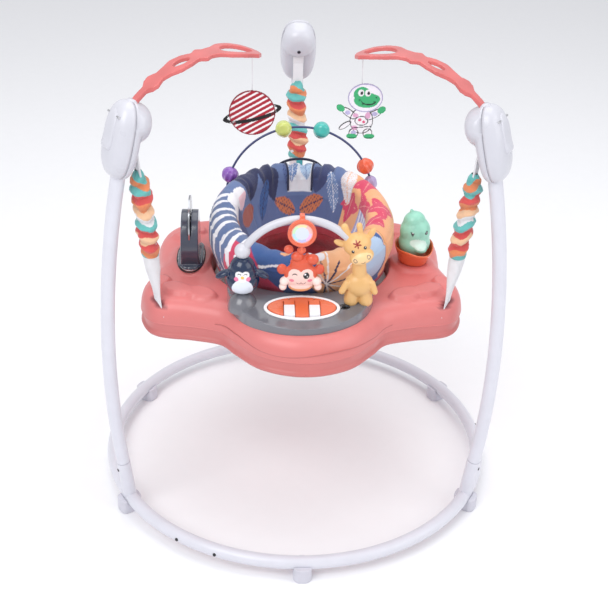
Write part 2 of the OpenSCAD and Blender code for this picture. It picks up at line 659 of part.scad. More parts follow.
base_tube_left();
base_tube_right();
base_tube_rear();
tube_sleeves();
snap_buttons();
feet();
post_left();
post_right();
post_rear();
outer_shell_left();
outer_shell_right();
outer_shell_rear();
inner_shells();
housing_screws();
strap_anchors();
hanger_straps();
latch_left();
latch_right();
latch_rear();
toy_arm_left();
toy_arm_right();
planet_toy();
dino_toy();
springs();
strap_covers();
strap_webs();
strap_bars();
tray_top();
tray_bottom();
tray_screws();
seat_ring();
seat_glides();
seat_pad();
seat_sling();
console_panel();
key_bezel();
orange_key_left();
orange_key_middle();
orange_key_right();
white_key_left();
white_key_right();
power_switch();
sound_module();
battery_cover();
penguin();
toy_arch();
mirror_pendant();
monkey();
giraffe();
spinner_pod();
spinner_disc();
head_cup();
mint_head();
bead_wire();
bead_purple();
bead_lime();
bead_teal();
bead_orange();
bead_lilac();
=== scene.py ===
import json
import math
import bpy
import bmesh
import numpy as np
from mathutils import Matrix, Vector, noise

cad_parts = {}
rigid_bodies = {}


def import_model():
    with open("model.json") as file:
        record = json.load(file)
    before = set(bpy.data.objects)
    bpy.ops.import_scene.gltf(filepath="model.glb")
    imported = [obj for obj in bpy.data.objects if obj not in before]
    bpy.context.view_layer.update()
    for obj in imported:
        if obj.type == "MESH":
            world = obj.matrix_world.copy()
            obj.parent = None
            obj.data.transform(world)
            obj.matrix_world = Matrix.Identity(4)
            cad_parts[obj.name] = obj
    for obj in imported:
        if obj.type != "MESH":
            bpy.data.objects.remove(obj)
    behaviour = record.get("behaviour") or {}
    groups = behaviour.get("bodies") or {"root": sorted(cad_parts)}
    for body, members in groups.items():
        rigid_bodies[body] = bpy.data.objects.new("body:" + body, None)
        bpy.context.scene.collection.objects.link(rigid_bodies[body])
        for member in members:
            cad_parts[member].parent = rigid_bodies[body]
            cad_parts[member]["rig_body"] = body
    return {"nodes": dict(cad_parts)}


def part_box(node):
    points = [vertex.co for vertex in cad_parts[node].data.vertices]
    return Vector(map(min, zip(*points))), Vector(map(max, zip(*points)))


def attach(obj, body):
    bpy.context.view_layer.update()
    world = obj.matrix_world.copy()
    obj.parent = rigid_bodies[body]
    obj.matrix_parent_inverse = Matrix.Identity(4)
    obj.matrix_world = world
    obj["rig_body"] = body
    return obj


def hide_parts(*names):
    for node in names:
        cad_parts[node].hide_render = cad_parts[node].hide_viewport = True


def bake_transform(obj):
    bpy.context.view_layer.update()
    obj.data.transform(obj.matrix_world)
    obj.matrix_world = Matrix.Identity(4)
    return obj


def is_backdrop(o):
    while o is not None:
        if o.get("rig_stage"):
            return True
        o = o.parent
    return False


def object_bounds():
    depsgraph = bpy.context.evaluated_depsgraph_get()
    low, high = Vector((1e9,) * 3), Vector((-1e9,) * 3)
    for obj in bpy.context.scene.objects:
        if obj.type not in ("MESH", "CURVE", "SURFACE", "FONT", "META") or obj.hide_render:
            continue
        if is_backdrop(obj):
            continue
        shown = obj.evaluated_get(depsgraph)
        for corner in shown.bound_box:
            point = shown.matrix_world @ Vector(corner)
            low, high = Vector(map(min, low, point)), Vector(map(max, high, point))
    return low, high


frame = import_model()
cad_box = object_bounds()
NODES = frame["nodes"]
scene = bpy.context.scene
MM = 0.001
PI = math.pi
AZ = {"left": -120.0, "right": 120.0, "rear": 0.0}


# ---------------------------------------------------------------- colours and materials
def srgb(*c):
    v = np.array(c, float) / 255
    return np.where(v <= 0.04045, v / 12.92, ((v + 0.055) / 1.055) ** 2.4)


CORAL = srgb(220, 124, 122)
LAVENDER = srgb(215, 215, 224)
GREY = srgb(112, 112, 119)
WHITE = srgb(242, 241, 244)
NAVY = srgb(12, 36, 70)
BLACK = srgb(22, 22, 26)


def material(name, rgb=None, rough=0.42, kind="plastic", grain=900.0, bump=0.08, vary=0.06, coat=0.0,
        metal=0.0):
    """Procedural material; with no colour it takes the painted colour of each point."""
    m = bpy.data.materials.new(name)
    m.use_nodes = True
    nt = m.node_tree
    b = nt.nodes["Principled BSDF"]
    tc = nt.nodes.new("ShaderNodeTexCoord")
    big = nt.nodes.new("ShaderNodeTexNoise")
    big.inputs["Scale"].default_value = 28
    big.inputs["Detail"].default_value = 4
    nt.links.new(tc.outputs["Object"], big.inputs["Vector"])
    ramp = nt.nodes.new("ShaderNodeMapRange")
    ramp.inputs["From Min"].default_value = 0.3
    ramp.inputs["From Max"].default_value = 0.7
    ramp.inputs["To Min"].default_value = 1 - vary
    ramp.inputs["To Max"].default_value = 1 + vary
    nt.links.new(big.outputs["Fac"], ramp.inputs["Value"])
    mul = nt.nodes.new("ShaderNodeVectorMath")
    mul.operation = "SCALE"
    if rgb is None:
        at = nt.nodes.new("ShaderNodeAttribute")
        at.attribute_name = "Col"
        nt.links.new(at.outputs["Color"], mul.inputs[0])
    else:
        mul.inputs[0].default_value = tuple(float(x) for x in rgb)
    nt.links.new(ramp.outputs["Result"], mul.inputs["Scale"])
    nt.links.new(mul.outputs["Vector"], b.inputs["Base Color"])
    rr = nt.nodes.new("ShaderNodeMapRange")
    rr.inputs["To Min"].default_value = max(0.03, rough - 0.08)
    rr.inputs["To Max"].default_value = min(1.0, rough + 0.08)
    nt.links.new(big.outputs["Fac"], rr.inputs["Value"])
    nt.links.new(rr.outputs["Result"], b.inputs["Roughness"])
    bp = nt.nodes.new("ShaderNodeBump")
    bp.inputs["Distance"].default_value = 0.0006
    bp.inputs["Strength"].default_value = bump
    if kind == "fabric":
        waves = []
        for axis in ("X", "Y", "Z"):
            w = nt.nodes.new("ShaderNodeTexWave")
            w.wave_type = "BANDS"
            w.bands_direction = axis
            w.inputs["Scale"].default_value = grain / 6.0
            w.inputs["Distortion"].default_value = 0.6
            nt.links.new(tc.outputs["Object"], w.inputs["Vector"])
            waves.append(w)
        add = nt.nodes.new("ShaderNodeMath")
        nt.links.new(waves[0].outputs["Fac"], add.inputs[0])
        nt.links.new(waves[1].outputs["Fac"], add.inputs[1])
        add2 = nt.nodes.new("ShaderNodeMath")
        nt.links.new(add.outputs[0], add2.inputs[0])
        nt.links.new(waves[2].outputs["Fac"], add2.inputs[1])
        nt.links.new(add2.outputs[0], bp.inputs["Height"])
        b.inputs["Sheen Weight"].default_value = 0.25
        b.inputs["Sheen Roughness"].default_value = 0.5
    else:
        fine = nt.nodes.new("ShaderNodeTexNoise")
        fine.inputs["Scale"].default_value = grain
        fine.inputs["Detail"].default_value = 3
        nt.links.new(tc.outputs["Object"], fine.inputs["Vector"])
        nt.links.new(fine.outputs["Fac"], bp.inputs["Height"])
    nt.links.new(bp.outputs["Normal"], b.inputs["Normal"])
    b.inputs["Coat Weight"].default_value = coat
    b.inputs["Coat Roughness"].default_value = 0.12
    b.inputs["Metallic"].default_value = metal
    return m


M = {
    "tube": material("tube", LAVENDER, 0.32, bump=0.12, grain=1600, vary=0.02, coat=0.25),
    "housing": material("housing", srgb(206, 206, 214), 0.3, bump=0.06, vary=0.02, coat=0.2),
    "steel": material("steel", (0.62, 0.62, 0.64), 0.3, grain=1400, bump=0.1, metal=1.0),
    "black": material("black", BLACK, 0.45, bump=0.1),
    "foot": material("foot", srgb(205, 204, 214), 0.6, bump=0.25, grain=700),
    "paint": material("paint", None, 0.35, bump=0.06, vary=0.03, coat=0.25),
    "paint_gloss": material("paint_gloss", None, 0.2, bump=0.03, vary=0.03, coat=0.6),
    "tray": material("tray", None, 0.4, bump=0.14, grain=1100, vary=0.02, coat=0.12),
    "console": material("console", GREY, 0.2, bump=0.04, vary=0.03, coat=0.7),
    "white": material("white", WHITE, 0.28, bump=0.05, vary=0.02, coat=0.3),
    "orange": material("orange", srgb(228, 112, 72), 0.28, bump=0.06, vary=0.03, coat=0.35),
    "slate": material("slate", srgb(66, 72, 90), 0.2, bump=0.04, vary=0.04, coat=0.7),
    "mirror": material("mirror", (0.42, 0.43, 0.46), 0.2, bump=0.03, vary=0.04, metal=1.0),
    "wire": material("wire", srgb(62, 70, 116), 0.35, bump=0.05, vary=0.03, coat=0.3),
    "cloth": material("cloth", None, 0.8, "fabric", grain=5200, bump=0.35, vary=0.04),
    "web": material("web", WHITE, 0.85, "fabric", grain=3600, bump=0.5, vary=0.03),
    "lining": material("lining", srgb(176, 48, 58), 0.85, "fabric", grain=5200, bump=0.4, vary=0.06),
    "shadow": material("shadow", srgb(96, 94, 108), 0.6, bump=0.1),
    "board": material("board", (0.02, 0.16, 0.07), 0.45, bump=0.2),
    "string": material("string", srgb(225, 225, 228), 0.5, bump=0.2),
}


# ---------------------------------------------------------------- mesh helpers (all in mm)
def build(name, verts, faces, body, mat, replaces=(), slot=None, smooth=True):
    me = bpy.data.meshes.new(name)
    me.from_pydata([tuple(float(c) * MM for c in v) for v in verts], [],
            [tuple(int(i) for i in f) for f in faces])
    me.validate()
    o = bpy.data.objects.new(name, me)
    scene.collection.objects.link(o)
    return dress(o, body, mat, replaces, smooth)


def dress(o, body, mat, replaces=(), smooth=True):
    o.data.materials.clear()
    o.data.materials.append(M[mat])
    if smooth:
        o.data.polygons.foreach_set("use_smooth", [True] * len(o.data.polygons))
    if body:
        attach(o, body)
    if replaces:
        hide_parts(*([replaces] if isinstance(replaces, str) else replaces))
    return o


def co_of(o):
    a = np.empty(len(o.data.vertices) * 3)
    o.data.vertices.foreach_get("co", a)
    return a.reshape(-1, 3) / MM


def set_co(o, co):
    o.data.vertices.foreach_set("co", (np.asarray(co) * MM).ravel())
    o.data.update()


def set_colour(o, rgb):
    at = o.data.attributes.get("Col") or o.data.attributes.new("Col", "FLOAT_COLOR", "POINT")
    at.data.foreach_set("color", np.hstack([rgb, np.ones((len(rgb), 1))]).astype(np.float32).ravel())


def paint(o, fn):
    """Colours each vertex with fn(x, y, z) in mm."""
    co = co_of(o)
    set_colour(o, fn(co[:, 0], co[:, 1], co[:, 2]))
    return o


def applied(o):
    """Applies the modifiers to the mesh."""
    dg = bpy.context.evaluated_depsgraph_get()
    me = bpy.data.meshes.new_from_object(o.evaluated_get(dg))
    o.modifiers.clear()
    o.data = me
    return o


def canvas(x, base):
    return np.tile(np.asarray(base, float), (len(x), 1))


def fill(rgb, mask, c):
    rgb[mask] = c


def disc(u, v, cu, cv, a, b=None, rot=0.0):
    """True inside an ellipse."""
    b = a if b is None else b
    c, s = math.cos(math.radians(rot)), math.sin(math.radians(rot))
    p, q = (u - cu) * c + (v - cv) * s, -(u - cu) * s + (v - cv) * c
    return (p / a) ** 2 + (q / b) ** 2 < 1


def grid(name, P, body, mat, wrap_u=True, wrap_v=False, cap=False, **kw):
    """Surface through an array of points P[u][v]."""
    nu, nv = P.shape[:2]
    F = []
    for i in range(nu if wrap_u else nu - 1):
        for j in range(nv if wrap_v else nv - 1):
            a, b = i, (i + 1) % nu
            c, d = j, (j + 1) % nv
            F.append((a * nv + c, b * nv + c, b * nv + d, a * nv + d))
    V = P.reshape(-1, 3)
    if cap:
        V = np.vstack([V, P[:, 0].mean(0), P[:, -1].mean(0)])
        n = nu * nv
        for i in range(nu):
            k = (i + 1) % nu
            F.append((i * nv, n, k * nv))
            F.append((k * nv + nv - 1, n + 1, i * nv + nv - 1))
    return build(name, V, F, body, mat, **kw)


def tube(name, pts, r, body, mat, n=16, **kw):
    pts = [Vector(p) for p in pts]
    up = None
    rows = []
    for i, p in enumerate(pts):
        t = (pts[min(i + 1, len(pts) - 1)] - pts[max(i - 1, 0)]).normalized()
        if up is None:
            up = t.orthogonal().normalized()
        up = (up - t * up.dot(t)).normalized()
        w = t.cross(up)
        ri = r[i] if hasattr(r, "__len__") else r
        rows.append([p + (up * math.cos(a) + w * math.sin(a)) * ri for a in np.linspace(0, 2 * PI, n,
                endpoint=False)])
    P = np.array([[tuple(v) for v in row] for row in rows]).transpose(1, 0, 2)
    return grid(name, P, body, mat, cap=True, **kw)


def baked(o, voxel, iters, factor=0.5):
    """Voxel remesh and relax, so that every edge comes out as a moulded round."""
    md = o.modifiers.new("v", "REMESH")
    md.mode = "VOXEL"
    md.voxel_size = voxel * MM * 1.0
    if iters:
        sm = o.modifiers.new("s", "SMOOTH")
        sm.iterations = iters
        sm.factor = factor
    return applied(o)


def moulded(node, mat, voxel=1.3, iters=5, name=None, body=None):
    """A CAD part with its edges rounded as in a mould."""
    src = NODES[node]
    o = bpy.data.objects.new(name or node + "_skin", src.data.copy())
    scene.collection.objects.link(o)
    bm = bmesh.new()
    bm.from_mesh(o.data)
    bmesh.ops.remove_doubles(bm, verts=bm.verts, dist=1e-6)
    bm.to_mesh(o.data)
    bm.free()
    baked(o, voxel, iters)
    return dress(o, body or src["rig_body"], mat, node)


def blob(name, parts, body, mat, voxel=1.3, iters=6, replaces=(), flat=None):
    """Union of ellipsoids (centre, radii, turn about Y in degrees) and rods (p, q, rp, rq), relaxed into
    one form."""
    bm = bmesh.new()
    for p in parts:
        if len(p) == 3:
            c, rad, rot = p
            m = Matrix.Translation(Vector(c)) @ Matrix.Rotation(math.radians(rot), 4,
                    "Y") @ Matrix.Diagonal((*rad, 1))
            bmesh.ops.create_icosphere(bm, subdivisions=4, radius=1, matrix=m)
        else:
            a, b, ra, rb = p
            a, b = Vector(a), Vector(b)
            q = (b - a).to_track_quat("Z", "Y").to_matrix().to_4x4()
            m = Matrix.Translation((a + b) / 2) @ q
            bmesh.ops.create_cone(bm, cap_ends=True, segments=28, radius1=ra, radius2=rb,
                    depth=(b - a).length, matrix=m)
            bmesh.ops.create_icosphere(bm, subdivisions=3, radius=ra, matrix=Matrix.Translation(a))
            bmesh.ops.create_icosphere(bm, subdivisions=3, radius=rb, matrix=Matrix.Translation(b))
    bmesh.ops.scale(bm, vec=(MM, MM, MM), verts=bm.verts)
    me = bpy.data.meshes.new(name)
    bm.to_mesh(me)
    bm.free()
    o = bpy.data.objects.new(name, me)
    scene.collection.objects.link(o)
    baked(o, voxel, iters)
    if flat is not None:
        co = co_of(o)
        co[:, 2] = np.maximum(co[:, 2], flat)
        set_co(o, co)
    return dress(o, body, mat, replaces)


def strap_point(a, x, y, z):
    """A point in a strap's own frame: +Z up along it, +X outwards."""
    tilt = math.atan((336 - 306) / (745 - 440))
    px = x * math.cos(tilt) + z * math.sin(tilt) + 306
    pz = -x * math.sin(tilt) + z * math.cos(tilt) + 440
    t = math.radians(a)
    return (px * math.sin(t) - y * math.cos(t), px * math.cos(t) + y * math.sin(t), pz)


def rumple(p, scale, seed=0.0):
    return noise.noise(Vector((p[0] / scale + seed, p[1] / scale, p[2] / scale)))


# ---------------------------------------------------------------- camera, light and floor
def make_camera():
    el, yaw, roll, dist = math.radians(29.53), math.radians(-3.07), math.radians(-1.73), 2.12932
    target = Vector((0.00926, 0.0, 0.35727))
    back = Vector((math.sin(yaw) * math.cos(el), -math.cos(yaw) * math.cos(el), math.sin(el)))
    right = (-back).cross(Vector((0, 0, 1))).normalized()
    up = right.cross(-back)
    r2 = right * math.cos(roll) - up * math.sin(roll)
    u2 = right * math.sin(roll) + up * math.cos(roll)
    cam = bpy.data.cameras.new("camera")
    cam.lens, cam.sensor_width, cam.clip_end = 62.95, 36, 30
    o = bpy.data.objects.new("camera", cam)
    scene.collection.objects.link(o)
    m = Matrix((r2, u2, back)).transposed().to_4x4()
    m.translation = target + back * dist
    o.matrix_world = m
    scene.camera = o


def make_light(name, loc, target, size, power):
    li = bpy.data.lights.new(name, "AREA")
    li.size, li.energy = size, power
    o = bpy.data.objects.new(name, li)
    scene.collection.objects.link(o)
    o.location = loc
    o.rotation_euler = (Vector(target) - Vector(loc)).to_track_quat("-Z", "Y").to_euler()


scene.view_settings.view_transform = "Standard"
make_camera()
make_light("key", (-1.6, -2.2, 3.0), (0, 0, 0.4), 2.2, 58)
make_light("fill", (2.4, -1.4, 2.0), (0, 0, 0.4), 2.4, 24)
make_light("top", (0.2, 0.6, 3.2), (0, 0, 0.4), 2.5, 30)
world = bpy.data.worlds.new("studio")
scene.world = world
world.use_nodes = True
world.node_tree.nodes["Background"].inputs["Color"].default_value = (0.96, 0.97, 1.0, 1)
world.node_tree.nodes["Background"].inputs["Strength"].default_value = 0.72
me = bpy.data.meshes.new("floor")
me.from_pydata([(-30, -30, 0), (30, -30, 0), (30, 30, 0), (-30, 30, 0)], [], [(0, 1, 2, 3)])
floor = bpy.data.objects.new("floor", me)
scene.collection.objects.link(floor)
me.materials.append(material("floor_pale", srgb(246, 246, 248), 0.7, bump=0.02, vary=0.005))
floor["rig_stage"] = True

# ---------------------------------------------------------------- plain CAD parts: material only
for names, mat in (
        (["base_tube_left", "base_tube_right", "base_tube_rear", "post_left", "post_right", "post_rear"],
        "tube"),
        (["tube_sleeves", "housing_screws", "strap_anchors", "strap_bars", "tray_screws"], "steel"),
        (["snap_buttons", "power_switch"], "black"), (["toy_arch"], "housing"), (["bead_wire"], "wire"),
        (["hanger_straps"], "web"), (["seat_ring", "seat_glides"], "white"), (["sound_module"], "board"),
        (["battery_cover"], "console"), (["spinner_disc"], "mirror")):
    for n in names:
        NODES[n].data.materials.clear()
        NODES[n].data.materials.append(M[mat])

# ---------------------------------------------------------------- housings, latches, arms, feet
HOUSE_Z, LEAN = 770.0, math.radians(14.4)
HOUSE_R = 408.6 - 1758.6 + math.sqrt(1758.6 ** 2 - (HOUSE_Z - 334) ** 2)


def house_point(a, x, y, z):
    """A point in a top housing's own frame: +X outwards, +Z along the post."""
    px = HOUSE_R + x * math.cos(LEAN) - z * math.sin(LEAN)
    pz = HOUSE_Z + x * math.sin(LEAN) + z * math.cos(LEAN)
    t = math.radians(a)
    return (px * math.sin(t) - y * math.cos(t), px * math.cos(t) + y * math.sin(t), pz)


def shell_outline(t, w=37.0, h=67.0, n=2.7):
    c, s = math.cos(t), math.sin(t)
    return w * math.copysign(abs(c) ** (2 / n), c), h * math.copysign(abs(s) ** (2 / n), s) - 1


def half_shell(name, a, depth, side, w, body, replaces):
    """One half of a housing: its outline, domed by depth(rho, y, z) to one side of the split."""
    n, m = 110, 30
    P = np.zeros((n, m + 2, 3))
    for i in range(n):
        t = 2 * PI * i / n
        oy, oz = shell_outline(t, w)
        for j in range(m):
            rho = 1 - (j / (m - 1)) ** 1.7 * 0.985
            y, z = oy * rho, (oz + 1) * rho - 1
            P[i, j + 2] = house_point(a, side * (0.5 + depth(rho, y, z)), y, z)
        P[i, 1] = house_point(a, side * 0.5, oy * 0.985, (oz + 1) * 0.985 - 1)
        P[i, 0] = house_point(a, side * 0.5, oy * 0.6, (oz + 1) * 0.6 - 1)
    return grid(name, P, body, "housing", cap=True, replaces=replaces, slot="housing")


def outer_depth(rho, y, z):
    return 29.5 * (1 - rho ** 3.4) ** (1 / 2.4)


def inner_depth(rho, y, z):
    plate = 18 * (1 - rho ** 5) ** (1 / 2.6)
    rr = math.hypot(y, z - 29) / 35.5
    dome = 37.5 * (1 - rr ** 3.2) ** (1 / 2.6) if rr < 1 else 0.0
    return max(plate, dome) + 2.0 * math.exp(-abs(plate - dome) / 3.0) * (1 if rr < 1.05 and rho < 0.8 else 0)


def latch_flap(s, a):
    """Arch-topped flap let into the outer shell, standing proud at its lower lip."""
    n, m = 72, 16
    P = np.zeros((n, m + 2, 3))
    for i in range(n):
        t = 2 * PI * i / n
        c, sn = math.cos(t), math.sin(t)
        if sn > 0:
            oy, oz = 17.5 * math.copysign(abs(c) ** 0.9, c), 20 + 30 * sn ** 0.9
        else:
            oy, oz = 17.5 * math.copysign(abs(c) ** 0.35, c), 20 - 38 * abs(sn) ** 0.35
        for j in range(m):
            rho = 1 - (j / (m - 1)) ** 1.6 * 0.98
            y, z = oy * rho, 16 + (oz - 16) * rho
            yy, zz = abs(y) / 37, abs(z + 1) / 67
            rr = min(0.999, (yy ** 2.7 + zz ** 2.7) ** (1 / 2.7))
            lip = max(0.0, (4 - z) / 22) ** 1.6
            x = 0.9 + outer_depth(rr, y, z) + 1.9 * (1 - rho ** 14) + 6.0 * lip * (1 - rho ** 8)
            P[i, j + 2] = house_point(a, x, y, z)
        rr = min(0.999, ((abs(oy) / 37) ** 2.7 + (abs(oz + 1) / 67) ** 2.7) ** (1 / 2.7))
        x0 = outer_depth(rr, oy, oz)
        P[i, 1] = house_point(a, x0 - 2.0, oy, oz)
        P[i, 0] = house_point(a, x0 - 2.0, oy * 0.5, 16 + (oz - 16) * 0.5)
    grid("latch_flap_" + s, P, "latch_" + s, "housing", cap=True, replaces="latch_" + s, slot="housing")


for s, a in AZ.items():
    half_shell("housing_outer_" + s, a, outer_depth, 1, 37, "frame", "outer_shell_" + s)
    half_shell("housing_inner_" + s, a, inner_depth, -1, 36.4, "frame", "inner_shells")
    latch_flap(s, a)
    ring = [house_point(a, -38.2, 3.1 * math.cos(t), 17 + 3.1 * math.sin(t)) for t in np.linspace(0, 2 * PI,
            25)]
    tube("screw_rim_" + s, ring, 0.7, "frame", "shadow", n=6, slot="housing")
    tube("screw_head_" + s, [house_point(a, x, 0, 17) for x in (-36.0, -37.2, -38.0, -38.2)],
         [2.9, 2.9, 2.7, 1.4], "frame",
         "black", n=16, slot="steel")
    if s != "rear":
        root = [house_point(a, -2, 0, 60 + 2 * k) for k in range(5)]
        tube("arm_socket_" + s, root, [10.5, 10.5, 10.2, 9.4, 8.0], "frame", "housing", n=20, slot="housing")
moulded("feet", "foot", 1.5, 6)


def arm_paint(x, y, z):
    rgb = canvas(x, srgb(216, 108, 106))
    shade = 0.93 + 0.07 * np.sin(x / 9.0) * np.cos(y / 11.0)
    return rgb * shade[:, None]


for s in ("left", "right"):
    paint(moulded("toy_arm_" + s, "paint", 1.1, 5), arm_paint)


# ---------------------------------------------------------------- tray
HALF = [(0, 322), (10, 312), (20, 282), (30, 262), (40, 272), (50, 300), (60, 311), (70, 302), (80, 286),
        (89, 279), (98, 292), (105, 313), (113, 324), (121, 320), (131, 276), (142, 251), (151, 263),
        (165, 293),
        (180, 305)]


def rim(a):
    a = abs((a + 180) % 360 - 180)
    i = max(k for k in range(len(HALF) - 1) if HALF[k][0] <= a or k == 0)
    t = (a - HALF[i][0]) / (HALF[i + 1][0] - HALF[i][0])
    r = [HALF[min(abs(k), 2 * len(HALF) - 2 - k)][1] for k in (i - 1, i, i + 1, i + 2)]
    return r[1] + 0.5 * t * (r[2] - r[0] + t * (2 * r[0] - 5 * r[1] + 4 * r[2] - r[3]
            + t * (3 * (r[1] - r[2]) + r[3] - r[0])))


HOLE_R, POD_X, CUP_X = 172, -213, 219
NAZ = 480
AZS = np.linspace(-180, 180, NAZ, endpoint=False)
RIM = np.array([rim(a) for a in AZS])


def slot_plane(a, x, y):
    """Distances across and along the strap slot at angle a."""
    cx, cy, _ = strap_point(a, 0, 0, 0)
    t = math.radians(a)
    return (x - cx) * math.sin(t) + (y - cy) * math.cos(t), -(x - cx) * math.cos(t) + (y - cy) * math.sin(t)


def deck_height(x, y, base):
    """Raised lobes, pod plateaus and strap recesses on the deck."""
    z = base.copy()

    def bump(cu, cv, ra, rb, h, soft=0.35, rot=0.0):
        c, s = math.cos(math.radians(rot)), math.sin(math.radians(rot))
        p, q = (x - cu) * c + (y - cv) * s, -(x - cu) * s + (y - cv) * c
        d = np.sqrt((p / ra) ** 2 + (q / rb) ** 2)
        return h * np.clip((1 + soft / 2 - d) / soft, 0,
                1) ** 2 * (3 - 2 * np.clip((1 + soft / 2 - d) / soft, 0, 1))
    up = np.zeros_like(z)
    for s in (-1, 1):
        for cu, cv, ra, rb, h in ((192, -138, 34, 20, 9), (232, -124, 30, 20, 10), (266, -92, 18, 22, 8),
                (230, 98, 26, 16, 8), (206, 128, 18, 14, 7)):
            up = np.maximum(up, bump(s * cu, cv, ra, rb, h, 0.22, rot=s * 24))
    z += up
    z = np.maximum(z, base + bump(POD_X, 5, 39, 70, 7, 0.22))
    z = np.maximum(z, base + bump(CUP_X, -6, 44, 46, 7, 0.22))
    for a in AZ.values():
        u, v = slot_plane(a, x, y)
        d = np.maximum(np.abs(u) / 9.0, np.abs(v) / 21.0)
        z = np.where(d < 1.3, np.minimum(z, 449 + 7 * np.clip((d - 0.8) / 0.5, 0, 1)), z)
    return z


def make_tray():
    prof = [(0, 412), (0, 416), (0.6, 421), (1.6, 427), (3.4, 433), (6, 438.5), (9.5, 443.5), (14, 447.5),
            (19, 450.5),
            (25, 452.8), (31, 454.2), (38, 455)]
    rows = [[RIM - d, np.full(NAZ, float(z))] for d, z in prof]
    n_in = 34
    for k in range(1, n_in + 1):
        t = k / n_in
        rows.append([(RIM - 38) * (1 - t) + (HOLE_R + 6) * t, np.full(NAZ, 455.0)])
    for r, z in ((HOLE_R + 3.5, 455.6), (HOLE_R + 1.2, 454.2), (HOLE_R + 0.4, 451), (HOLE_R + 0.3, 440),
            (HOLE_R + 0.3, 414)):
        rows.append([np.full(NAZ, float(r)), np.full(NAZ, float(z))])
    rr = np.array([r[0] for r in rows]).T
    zz = np.array([r[1] for r in rows]).T
    t = np.radians(AZS)[:, None]
    x, y = rr * np.sin(t), rr * np.cos(t)
    soft = (zz > 449) & (rr > HOLE_R + 3)
    zz = np.where(soft, deck_height(x, y, zz), zz)
    o = grid("tray_shell", np.stack([x, y, zz], 2), None, "tray")

    def colour(x, y, z):
        rgb = canvas(x, CORAL)
        # Painted shade: the tray's sides are painted up to 16 % darker below the deck.
        rgb = rgb * (1 - 0.16 * np.clip((455 - z) / 60, 0, 1))[:, None]
        # Painted shade: each strap slot is painted dark red-brown as the shade inside its recess.
        for a in AZ.values():
            u, v = slot_plane(a, x, y)
            d = np.maximum(np.abs(u) / 5.5, np.abs(v) / 18)
            k = (np.clip((1.5 - d) / 0.7, 0, 1) * (z > 440))[:, None]
            rgb = rgb * (1 - k) + srgb(120, 52, 58) * k
        return rgb
    paint(o, colour)
    return dress(o, "tray", "tray", "tray_top")


def make_tray_base():
    prof = [(30, 380), (14, 380), (5, 380.4), (2.2, 381.8), (1.0, 384.5), (0.6, 389), (1.6, 390.6),
            (3.4, 392), (4.0, 396),
            (3.2, 402), (2.4, 408), (2.0, 411.6)]
    t = np.radians(AZS)[:, None]
    rr = np.array([RIM - d for d, _ in prof]).T
    zz = np.array([np.full(NAZ, float(z)) for _, z in prof]).T
    inner = [(161.0, 380.0), (159, 381), (158.4, 384), (158.2, 409.0), (160, 411.5), (178, 411.8)]
    rr = np.hstack([np.tile([r for r, _ in inner[::-1]], (NAZ, 1)), rr])
    zz = np.hstack([np.tile([z for _, z in inner[::-1]], (NAZ, 1)), zz])
    o = grid("tray_base_shell", np.stack([rr * np.sin(t), rr * np.cos(t), zz], 2), None, "tray")
    # Painted shade: the bottom shell is a darker copy of the tray's coral, darker still towards its lowest
    # edge.
    paint(o, lambda x, y, z: canvas(x, CORAL * 0.86) * (0.9 + 0.1 * np.clip((z - 380) / 30, 0, 1))[:, None])
    return dress(o, "tray", "tray", "tray_bottom")


make_tray()
make_tray_base()


def ring_on_rim(name, d, z, r, tone=0.93, wave=0.0, a0=None, a1=None):
    idx = [i for i, a in enumerate(AZS) if a0 is None or ((a - a0) % 360) <= ((a1 - a0) % 360)]
    if a0 is not None:
        idx.sort(key=lambda i: (AZS[i] - a0) % 360)
    pts = [((RIM[i] - d) * math.sin(math.radians(AZS[i])), (RIM[i] - d) * math.cos(math.radians(AZS[i])),
            z + wave * math.sin(math.radians(AZS[i]) * 9)) for i in idx]
    if a0 is None:
        pts.append(pts[0])
    o = tube(name, pts, r, None, "tray", n=10)
    paint(o, lambda x, y, zz: canvas(x, CORAL * tone))
    return dress(o, "tray", "tray", ())


ring_on_rim("tray_seam_bead", 1.0, 412.0, 1.5)
ring_on_rim("tray_rim_bead", 1.4, 386.5, 1.8, 0.8)
ring_on_rim("tray_wave_line", 1.0, 424.0, 0.9, 0.7, wave=4.0, a0=140, a1=-140)


# ---------------------------------------------------------------- console, keys and pods
SLOPE, SLOPE_Y = 0.16, 255


def sloped(o):
    """The console's face rises towards the seat."""
    co = co_of(o)
    k = np.clip((co[:, 2] - 448) / 12, 0, 1)
    co[:, 2] += SLOPE * np.clip(co[:, 1] + SLOPE_Y, -20, 72) * k
    set_co(o, co)
    return o


sloped(moulded("console_panel", "console", 1.3, 6))
sloped(moulded("key_bezel", "white", 0.8, 4))
for n in ("orange_key_left", "orange_key_middle", "orange_key_right"):
    sloped(moulded(n, "orange", 0.9, 5))
for n in ("white_key_left", "white_key_right"):
    key = sloped(moulded(n, "paint", 0.8, 5))
    back = (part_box(n)[0][1] * 0.36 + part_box(n)[1][1] * 0.64) / MM
    paint(key, lambda x, y, z: np.where((y > back)[:, None], srgb(228, 112, 72), WHITE))

sw_lo, sw_hi = [np.array(p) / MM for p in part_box("power_switch")]
sw_x, sw_y = (sw_lo[0] + sw_hi[0]) / 2, (sw_lo[1] + sw_hi[1]) / 2
sw_rise = SLOPE * (sw_y + SLOPE_Y)
# Painted shade: a thin black ring round the power switch stands in for the shade in its recess.
tube("switch_recess_shade",
     [(sw_x + 9.5 * math.cos(t), sw_y + 6.0 * math.sin(t), 468.1 + sw_rise + 0.96 * math.sin(t))
        for t in np.linspace(0, 2 * PI, 41)], 1.0, "tray", "black", n=8, slot="console")
sloped(moulded("power_switch", "black", 0.5, 3))


